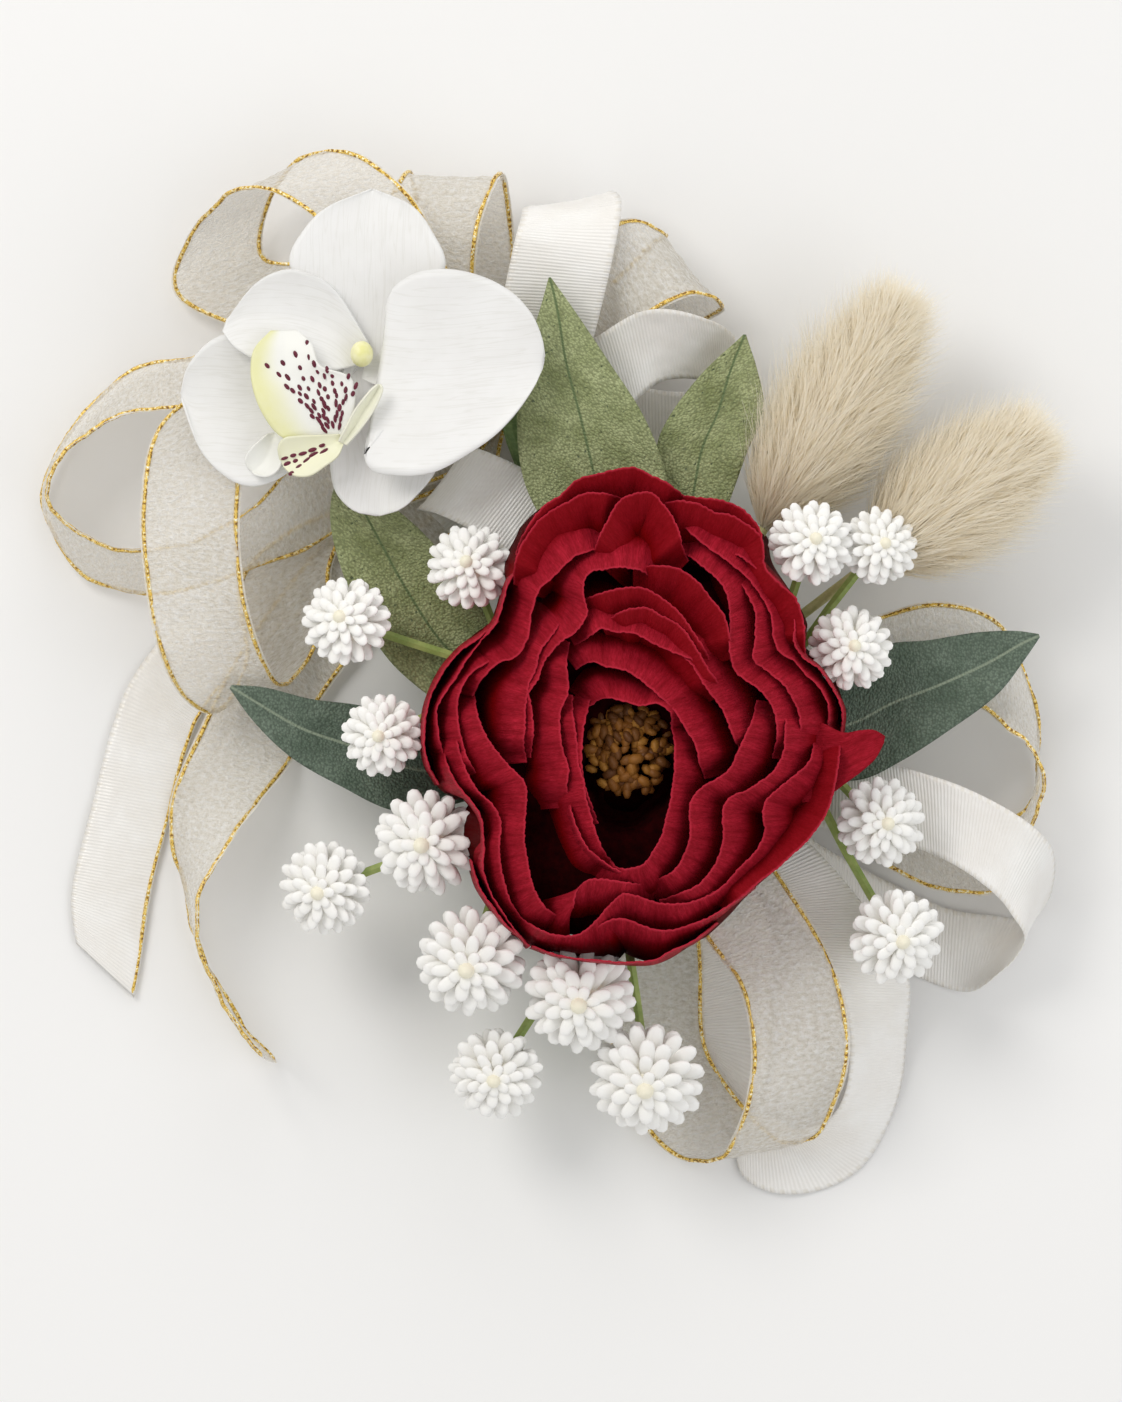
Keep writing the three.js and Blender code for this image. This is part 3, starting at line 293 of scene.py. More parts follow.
def sheer_paint():
    p = Paint("sheer_ribbon")
    crinkle = p.noise(p.places((7.5, 1.6, 1)), 1.0, 4.0, 0.65)
    # Painted glints: bright flecks in the colour that stand for light sparkling on the sheer weave.
    painted_glint = p.noise(p.places((40, 4.5, 1)), 1.0, 2.0)
    color = p.mix(p.grey(crinkle, 0.38, 0.62), (0.93, 0.87, 0.75), (1.0, 0.985, 0.95))
    color = p.mix(p.grey(painted_glint, 0.62, 0.72, 0.0, 0.7), color, (0.97, 0.955, 0.92))
    side = p.math("ABSOLUTE", p.node("SeparateXYZ", {0: p.places()}).outputs[0])
    woven = p.math("MAXIMUM", p.grey(crinkle, 0.3, 0.7, 0.5, 0.88), p.grey(side, 0.92, 0.94, 0.0, 0.96))
    p.set(Base_Color=color, Roughness=0.45, Specular_IOR_Level=0.4, Normal=p.bump(crinkle, 1.0, 0.7))
    p.translucent(color, 0.2)
    p.see_through(woven)
    return p.material


def satin_paint():
    p = Paint("satin_ribbon")
    place = p.node("SeparateXYZ", {0: p.places()})
    rib = p.math("SINE", p.math("MULTIPLY", place.outputs[1], 12.5))
    side = p.math("ABSOLUTE", place.outputs[0])
    beat = p.math("SINE", p.math("MULTIPLY", place.outputs[1], 5.0))
    stitch = p.math("MULTIPLY", p.grey(side, 0.86, 0.9), p.math("GREATER_THAN", beat, 0.2))
    cloud = p.noise(p.places((0.6, 0.12, 1)), 1.0, 3.0)
    color = p.mix(p.grey(cloud, 0.35, 0.7), (0.85, 0.825, 0.785), (0.91, 0.90, 0.88))
    color = p.mix(p.math("MULTIPLY", stitch, 0.3), color, (0.72, 0.66, 0.54))
    relief = p.math("SUBTRACT", rib, stitch)
    p.set(Base_Color=color, Roughness=0.28, Specular_IOR_Level=0.6, Normal=p.bump(relief, 0.3, 0.12))
    return p.material


def plain_paint(name, low, high, roughness, scale=0.8, bump=0.3, metallic=0.0, shine=0.4, **more):
    p = Paint(name)
    cloud = p.noise(p.places((1 / MM, 1 / MM, 1 / MM), "Object"), scale, 3.0)
    color = p.ramp(cloud, (0.35, low), (0.68, high))
    p.set(Base_Color=color, Roughness=roughness, Metallic=metallic, Specular_IOR_Level=shine, **more)
    p.set(Normal=p.bump(cloud, bump, 0.1))
    return p.material


def gold_paint():
    p = Paint("gold_thread")
    dash = p.noise(p.places((0.6, 1.8, 1)), 1.0, 2.0, 0.7)
    # The pale stop is a painted highlight on the thread; the dark stop gives its dark dashes.
    dark, amber, gold, pale = (0.20, 0.08, 0.004), (0.80, 0.50, 0.06), (0.93, 0.70, 0.18), (0.99, 0.96, 0.80)
    color = p.ramp(dash, (0.41, dark), (0.46, amber), (0.56, gold), (0.60, pale))
    p.set(Base_Color=color, Metallic=0.2, Roughness=0.3, Normal=p.bump(dash, 0.7, 0.2))
    return p.material


def orchid_paint():
    p = Paint("orchid_white")
    vein = p.noise(p.places((1.1, 0.05, 1)), 1.0, 2.0, 0.5)
    cloud = p.noise(p.places((0.12, 0.12, 1)), 1.0, 3.0)
    color = p.mix(p.grey(cloud, 0.3, 0.75), (0.82, 0.815, 0.80), (0.875, 0.875, 0.87))
    from_vein = p.math("ABSOLUTE", p.math("SUBTRACT", vein, 0.5))
    color = p.mix(p.grey(from_vein, 0.0, 0.03, 0.25, 0.0), color, (0.66, 0.65, 0.60))
    p.set(Base_Color=color, Roughness=0.5, Specular_IOR_Level=0.3, Normal=p.bump(vein, 0.15, 0.3))
    return p.material


def lip_paint():
    p = Paint("orchid_lip")
    cloud = p.noise(p.places((0.5, 0.5, 1)), 1.0, 2.0)
    color = p.mix(p.shade(), (0.86, 0.86, 0.82), (0.80, 0.79, 0.42))
    color = p.mix(p.grey(cloud, 0.3, 0.8, 0.0, 0.2), color, (0.87, 0.87, 0.83))
    p.set(Base_Color=color, Roughness=0.45, Specular_IOR_Level=0.3)
    return p.material


def floret_paint():
    p = Paint("ivory_flower")
    tip = p.node("SeparateXYZ", {0: p.places()}).outputs[1]
    fine = p.noise(p.places((3, 3, 1)), 1.0, 2.0)
    color = p.ramp(tip, (0.0, (0.86, 0.82, 0.68)), (0.4, (0.93, 0.92, 0.88)), (1.0, (0.95, 0.945, 0.93)))
    color = p.mix(p.shade(), color, (0.90, 0.86, 0.70))
    p.set(Base_Color=color, Roughness=0.5, Specular_IOR_Level=0.35, Normal=p.bump(fine, 0.1, 0.1))
    return p.material


def plume_paint():
    p = Paint("cream_plume")
    strand = p.noise(p.places((1 / MM, 1 / MM, 1 / MM), "Object"), 0.9, 3.0)
    # Painted shade: darker and warmer at the core and the hair roots (shade 0), paler at the hair tips (shade 1), for
    # the shade deep in the plume.
    color = p.ramp(p.shade(), (0.0, (0.96, 0.86, 0.68)), (0.45, (0.98, 0.92, 0.79)), (1.0, (0.98, 0.95, 0.87)))
    color = p.mix(p.grey(strand, 0.4, 0.8, 0.0, 0.25), color, (0.93, 0.80, 0.60))
    p.set(Base_Color=color, Roughness=0.8, Specular_IOR_Level=0.1)
    p.translucent(color, 0.5)
    return p.material


FLOWER = (632, 718)  # the wine flower's middle
FLOWER_SPAN = (209, 248)  # its half width and half length, in table steps
CUP = (628, 772)  # the middle of its open cup
FLOWER_TOP = 42.6  # height of the innermost rims, in millimetres
RIM_DROP = 7.5  # how much lower the outermost rims are
PETAL_STEPS = 16  # points from a petal's rim to its foot
PETAL_GROUPS = {  # the eight layers of the solids, by group from the cup outwards
    "petals_inner": ("petal_layer_1", "petal_layer_2", "petal_layer_3"),
    "petals_middle": ("petal_layer_4", "petal_layer_5", "petal_layer_6"),
    "petals_outer": ("petal_layer_7", "petal_layer_8"),
}
HEART_TURNS, HEART_LEVELS = 96, 22
HEART_FLOOR, HEART_RIM, HEART_DROP = 27, 33, 10  # heights of the cup's floor, of its rim, and the fall outside it
OUTLINE = [  # the flower's silhouette, from its right side over the top
    (841, 735), (838, 700), (824, 676), (805, 656), (801, 618), (790, 596), (766, 562), (757, 530), (737, 509),
    (690, 500), (664, 484), (632, 469), (601, 472), (575, 483), (545, 506), (524, 532), (513, 558), (514, 582),
    (504, 602), (496, 626), (464, 652), (445, 678), (430, 702), (425, 735), (430, 765), (444, 790), (468, 800),
    (482, 816), (484, 842), (478, 872), (492, 900), (512, 926), (534, 945), (562, 952), (592, 958), (622, 963),
    (656, 962), (694, 938), (734, 902), (766, 876), (798, 850), (822, 817), (836, 777), (841, 735),
]
# Each row is one petal: whether it leans in or flares out, how far its cloth reaches from its rim in table steps,
# how far it falls in millimetres, and points along its rim, placed over the photograph.
RIMS = [
    ("in", 14, 12, [
        (500, 622), (482, 637), (464, 650), (448, 667), (436, 688), (428, 712), (426, 738), (429, 762), (440, 784),
    ]),
    ("in", 30, 10, [(506, 654), (488, 664), (474, 672), (463, 688), (459, 708), (461, 730), (467, 752), (480, 778)]),
    ("in", 14, 12, [(472, 858), (480, 884), (492, 903), (507, 922), (526, 940)]),
    ("in", 40, 9, [(745, 756), (735, 744), (727, 728), (720, 710), (708, 694), (696, 676), (684, 660), (664, 650)]),
    ("in", 36, 9, [(568, 612), (556, 632), (542, 650), (536, 670), (529, 690), (533, 712), (534, 735), (531, 757)]),
    ("in", 10, 9, [(568, 790), (573, 816), (585, 842), (604, 860), (622, 871), (640, 878)]),
    ("in", 34, 7, [(590, 700), (584, 725), (582, 750), (583, 778), (588, 803), (594, 825), (603, 848), (614, 862)]),
    ("in", 34, 7, [
        (606, 855), (620, 866), (640, 863), (652, 848), (661, 830), (667, 805), (671, 780), (673, 752), (669, 722),
    ]),
    ("in", 30, 6, [(672, 735), (667, 712), (654, 703), (640, 706), (621, 701), (602, 699), (589, 706)]),
    ("in", 38, 8, [(572, 695), (573, 712), (577, 740), (578, 760), (584, 780), (590, 800), (598, 822)]),
    ("in", 40, 8, [
        (570, 643), (567, 662), (568, 694), (561, 712), (560, 728), (563, 748), (569, 768), (567, 786), (570, 806),
    ]),
    ("in", 42, 8, [
        (703, 778), (697, 762), (692, 742), (680, 723), (668, 706), (655, 694), (640, 681), (620, 670), (605, 667),
        (590, 663), (576, 670),
    ]),
    ("in", 42, 8, [
        (700, 680), (694, 664), (668, 652), (645, 641), (630, 634), (612, 633), (601, 630), (589, 638), (575, 647),
    ]),
    ("in", 44, 9, [
        (657, 588), (648, 578), (640, 573), (624, 570), (605, 571), (591, 574), (584, 584), (584, 598), (587, 614),
        (579, 630), (560, 644), (546, 661), (537, 682), (528, 697), (526, 722), (525, 745), (527, 762),
    ]),
    ("in", 48, 9, [
        (610, 547), (590, 553), (574, 559), (556, 577), (540, 591), (533, 612), (528, 640), (516, 658), (499, 664),
        (489, 673), (479, 685), (474, 697),
    ]),
    ("in", 54, 10, [
        (475, 690), (478, 711), (486, 732), (496, 748), (507, 762), (525, 780), (527, 802), (526, 822), (525, 838),
        (527, 852), (531, 872), (537, 892), (545, 904), (563, 916),
    ]),
    ("in", 46, 10, [
        (458, 722), (460, 745), (466, 766), (478, 788), (493, 803), (501, 818), (501, 840), (501, 858), (505, 880),
        (512, 900), (522, 917),
    ]),
    ("in", 34, 11, [
        (519, 571), (510, 583), (505, 600), (498, 622), (481, 643), (465, 665), (455, 681), (446, 694), (439, 708),
        (440, 735), (447, 760),
    ]),
    ("in", 30, 11, [
        (445, 742), (449, 765), (463, 789), (481, 813), (485, 840), (484, 864), (489, 884), (499, 904), (513, 924),
        (530, 945),
    ]),
    ("in", 44, 9, [
        (678, 552), (694, 563), (710, 577), (723, 592), (727, 615), (727, 650), (731, 670), (741, 679), (756, 690),
        (766, 702), (773, 718), (773, 740), (770, 758),
    ]),
    ("in", 42, 9, [
        (728, 573), (744, 594), (752, 612), (752, 640), (751, 661), (766, 673), (781, 686), (791, 702), (797, 722),
        (796, 748),
    ]),
    ("in", 36, 10, [
        (675, 521), (690, 536), (702, 547), (724, 562), (745, 580), (757, 595), (767, 613), (771, 640), (777, 653),
        (790, 661), (802, 674), (815, 686), (824, 702), (826, 730),
    ]),
    ("in", 26, 10, [
        (715, 551), (736, 558), (760, 574), (776, 585), (787, 600), (792, 625), (791, 644), (800, 658), (816, 669),
        (830, 690), (839, 710), (839, 735),
    ]),
    ("in", 44, 9, [
        (755, 700), (750, 716), (744, 732), (735, 750), (728, 766), (714, 778), (699, 786), (690, 797), (687, 812),
        (688, 832), (683, 850), (677, 863), (664, 873), (648, 880),
    ]),
    ("in", 42, 9, [
        (782, 700), (782, 731), (780, 751), (771, 769), (758, 780), (744, 789), (730, 794), (721, 804), (720, 816),
        (721, 832), (717, 852), (708, 869), (698, 881), (680, 890), (658, 898),
    ]),
    ("in", 38, 10, [
        (812, 735), (806, 760), (790, 776), (774, 788), (763, 799), (760, 814), (762, 830), (755, 846), (740, 863),
        (720, 884), (690, 901),
    ]),
    ("out", 40, 11, [
        (839, 735), (834, 775), (829, 797), (822, 816), (810, 832), (798, 846), (784, 858), (769, 871), (753, 883),
        (739, 895), (722, 908),
    ]),
    ("in", 40, 9, [(560, 917), (573, 905), (577, 889), (585, 879), (602, 876), (625, 880), (652, 882)]),
    ("in", 40, 10, [
        (518, 913), (540, 927), (560, 933), (581, 930), (598, 915), (610, 901), (622, 891), (636, 893), (652, 899),
        (675, 901), (700, 896), (722, 884), (742, 868),
    ]),
    ("in", 28, 11, [
        (585, 938), (600, 922), (614, 916), (628, 917), (642, 923), (655, 927), (680, 925), (702, 917), (730, 901),
        (752, 884),
    ]),
    ("in", 16, 12, [
        (532, 944), (560, 953), (590, 957), (620, 959), (642, 959), (656, 956), (668, 949), (692, 938), (716, 920),
    ]),
    ("out", 66, 10, [(513, 585), (517, 558), (528, 536), (545, 517), (565, 505), (588, 495), (612, 497), (628, 503)]),
    ("out", 60, 11, [
        (516, 556), (521, 540), (534, 520), (546, 506), (558, 499), (576, 483), (601, 475), (632, 470), (650, 477),
        (664, 484), (688, 501),
    ]),
    ("out", 62, 9, [
        (592, 560), (597, 541), (607, 523), (612, 512), (622, 500), (638, 495), (652, 496), (662, 506), (671, 518),
        (677, 532), (681, 548), (688, 562),
    ]),
    ("out", 56, 9, [(655, 506), (680, 503), (697, 506), (714, 514), (731, 518), (746, 527), (758, 537), (762, 560)]),
    ("out", 60, 10, [
        (676, 497), (704, 500), (722, 503), (737, 509), (747, 516), (757, 530), (761, 547), (763, 567), (775, 583),
        (792, 598), (800, 617), (803, 655),
    ]),
    ("out", 44, 7, [(632, 568), (660, 567), (680, 572), (696, 583), (707, 597), (722, 617), (728, 637), (729, 660)]),
    ("out", 42, 7, [
        (580, 602), (600, 594), (620, 590), (641, 589), (656, 596), (672, 608), (684, 622), (700, 645), (712, 668),
    ]),
    ("out", 30, 6, [
        (600, 626), (615, 615), (630, 610), (646, 609), (657, 615), (672, 622), (686, 636), (700, 658), (711, 676),
        (724, 694),
    ]),
]
TIP_PETAL = [  # the one petal that points out on the right, as stations across it
    (790, 712, 800, 802, 32.5), (815, 720, 822, 797, 33.6), (840, 732, 842, 783, 34.2), (857, 730, 862, 768, 34.4),
    (872, 730, 874, 756, 34.2), (882, 736, 881, 742, 33.8),
]


def outline_reach(x, y):
    """How far the silhouette is beyond a point, along the line from the flower's middle."""
    edge = np.array(spline(OUTLINE, 360))
    turn = np.arctan2(FLOWER[1] - edge[:, 1], edge[:, 0] - FLOWER[0])
    order = np.argsort(turn)
    reach = np.hypot(edge[:, 0] - FLOWER[0], edge[:, 1] - FLOWER[1])
    edge_there = np.interp(np.arctan2(FLOWER[1] - y, x - FLOWER[0]), turn[order], reach[order], period=2 * math.pi)
    return edge_there - np.hypot(x - FLOWER[0], y - FLOWER[1])


def rim_height(x, y):
    """Height of a petal's rim at a place, in millimetres."""
    reach = np.hypot((x - FLOWER[0]) / FLOWER_SPAN[0], (y - FLOWER[1]) / FLOWER_SPAN[1])
    return FLOWER_TOP - RIM_DROP * reach**2.2


def flower_petal(cloth, rng, lean, reach, fall, rim):
    """One petal: from its ragged rim the cloth runs out and down, or in and down where it flares."""
    line = spline(rim, max(40, int(len(rim) * 13)))
    n = len(line)
    run = running(line)
    spine = np.stack([np.full(n, CUP[0]), np.clip(line[:, 1], CUP[1] - 60, CUP[1] + 50)], 1)
    away = line - spine
    away /= np.hypot(*away.T)[:, None] + 1e-9
    tangent = unit(np.gradient(line, axis=0))
    square = np.stack([tangent[:, 1], -tangent[:, 0]], 1)
    square *= np.sign((square * away).sum(1))[:, None]
    out = away * 0.45 + square * 0.55
    window = np.hanning(23) / np.hanning(23).sum()
    out = np.stack([np.convolve(np.pad(out[:, k], 11, mode="edge"), window, "valid") for k in range(2)], 1)
    out = unit(out)
    ends = smooth(np.minimum(run, run[-1] - run), 0, 26)
    ruffle = settings().petal_ruffle
    ragged = ripple(rng, run, (0.5, 0.8, 1.3), 0.55 * ruffle) + ripple(rng, run, (0.12, 0.2), 0.5 * ruffle)
    lift = ripple(rng, run, (0.08, 0.15), 0.45 * ruffle)
    room = np.maximum(outline_reach(line[:, 0], line[:, 1]), 0)
    far = np.clip(room + 2, 6, 1.25 * reach) if lean == "in" else np.full(n, 1.25 * reach)
    wave = ripple(rng, run, (0.06, 0.11, 0.2), 0.35 * ruffle)
    height = rim_height(line[:, 0], line[:, 1]) + lift - 4.5 * (1 - ends)
    rows, places = [], []
    for t in np.linspace(0, 1, PETAL_STEPS) ** 1.5:
        way = t if lean == "in" else -t
        plan = line + out * (far * way + ragged * (1 - smooth(t, 0, 0.12)) + wave * 6 * t * (1 - t))[:, None]
        if lean == "in":
            z = height - 1.5 * fall * (0.3 * t + 0.7 * t**1.8)
        else:
            z = height + 1.2 - 1.2 * fall * (0.35 * t + 0.65 * t * t)
        z = z + wave * 2 * t * (1 - t)
        rows.append(np.stack([plan[:, 0], plan[:, 1], z], 1))
        places.append(np.stack([run, far * t], 1) * STEP / MM)
    rows = np.stack(rows, 1)
    points = np.array([[at(*p) for p in row] for row in rows])
    # Painted shade: it deepens with the distance from the rim, where a petal that leans in runs under the next petal
    # out, and where a flared petal's inner face runs down into the cup.
    depth = far[:, None] * (np.linspace(0, 1, PETAL_STEPS) ** 1.5)[None]
    shade = 0.85 * smooth(depth, 14, 46) if lean == "in" else 0.35 + 0.65 * smooth(depth, 20, 68)
    cloth.grid(points, np.stack(places, 1), shade)
    down = np.linalg.norm(np.diff(points, axis=1), axis=2).sum(1).mean()
    along = np.linalg.norm(np.diff(points, axis=0), axis=2).sum(0).mean()
    cloth.area += down * along


def flower():
    """The wine flower's petals, in three groups from the cup outwards, and the heart under them, painted near-black
    as shadow.
    """
    rng = np.random.default_rng(settings().seed)
    paint = petal_paint()
    reach = [np.hypot(*((np.mean(rim, axis=0) - CUP) / FLOWER_SPAN)) for *_, rim in RIMS]
    order = np.argsort(reach)
    for (name, layers), part in zip(PETAL_GROUPS.items(), np.array_split(order, len(PETAL_GROUPS))):
        cloth = Cloth()
        for k in part:
            lean, far, fall, rim = RIMS[k]
            flower_petal(cloth, rng, lean, far, fall, rim)
        if name == "petals_outer":
            rows, places, area = blade_rows(TIP_PETAL, 0, 1.2, 24, 13, 0.25)
            # A little painted shade over the whole tip petal.
            cloth.grid(rows, places + [0, 1.0], 0.1)
            cloth.area += area
        piece = cloth.build(name, paint, SHEET_THICKNESS)
        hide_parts(*layers)
    painted_shadow_heart()


def painted_shadow_heart():
    """The floor and wall of the cup, and the slope under the petals, painted near-black as shadow."""
    angle = np.linspace(0, 2 * math.pi, HEART_TURNS, endpoint=False)
    wide = outline_reach(FLOWER[0] + np.cos(angle), FLOWER[1] - np.sin(angle)) + 1

    def ring(size, z, middle):
        x, y = middle[0] + size * wide * np.cos(angle), middle[1] - size * wide * np.sin(angle)
        return [at(*p, float(z)) for p in zip(x, y)]

    rows = []
    for t in np.linspace(0, 1, HEART_LEVELS):
        if t < 0.4:  # from the cup's floor up its wall
            s = t / 0.4
            rows.append(ring(0.16 + 0.10 * s, HEART_FLOOR + (HEART_RIM - HEART_FLOOR) * smooth(s, 0.2, 1), CUP))
        else:
            s = (t - 0.4) / 0.6
            middle = np.array(CUP) * (1 - s) + np.array(FLOWER) * s
            rows.append(ring(0.26 + 0.64 * math.sin(s * math.pi / 2) ** 0.9, HEART_RIM - HEART_DROP * s**2.2, middle))
    rows += [ring(0.7, 22.4, FLOWER), ring(0.3, 21.6, FLOWER)]
    rows = np.array(rows).transpose(1, 0, 2)
    places = np.stack(np.meshgrid(np.arange(len(rows)) * 1.6, np.arange(rows.shape[1]) * 1.5, indexing="ij"), -1)
    heart = Cloth()
    heart.grid(rows, places, 1.0, closed=True)
    # Painted shadow: the heart is near-black, so the gaps between the petals and the cup read as deep shade.
    paint = plain_paint("painted_shadow_heart", (0.010, 0.0001, 0.0003), (0.025, 0.0002, 0.0006), 0.9, shine=0.05)
    piece = heart.build("painted_shadow_heart", paint)


SPREAD = 150  # millimetres that a share of one stands for, as in the part's own source
FLOOR_SHIFT = 0.553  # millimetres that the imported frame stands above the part's own zero
SHEER_WIDTH, SATIN_WIDTH = 15, 12  # ribbon stock, in millimetres
BOW_LEVEL, BOW_SLOT = 3.9, 0.6  # height of the lowest end bound under the orchid, and of each slot above it


def place_of(x, y):
    """A place in shares of the spread from the hub, in table steps."""
    return TABLE_HUB[0] + x * SPREAD * MM / STEP, TABLE_HUB[1] - y * SPREAD * MM / STEP


def level_of(z):
    """A height in shares of the spread, in millimetres above the floor."""
    return z * SPREAD + FLOOR_SHIFT
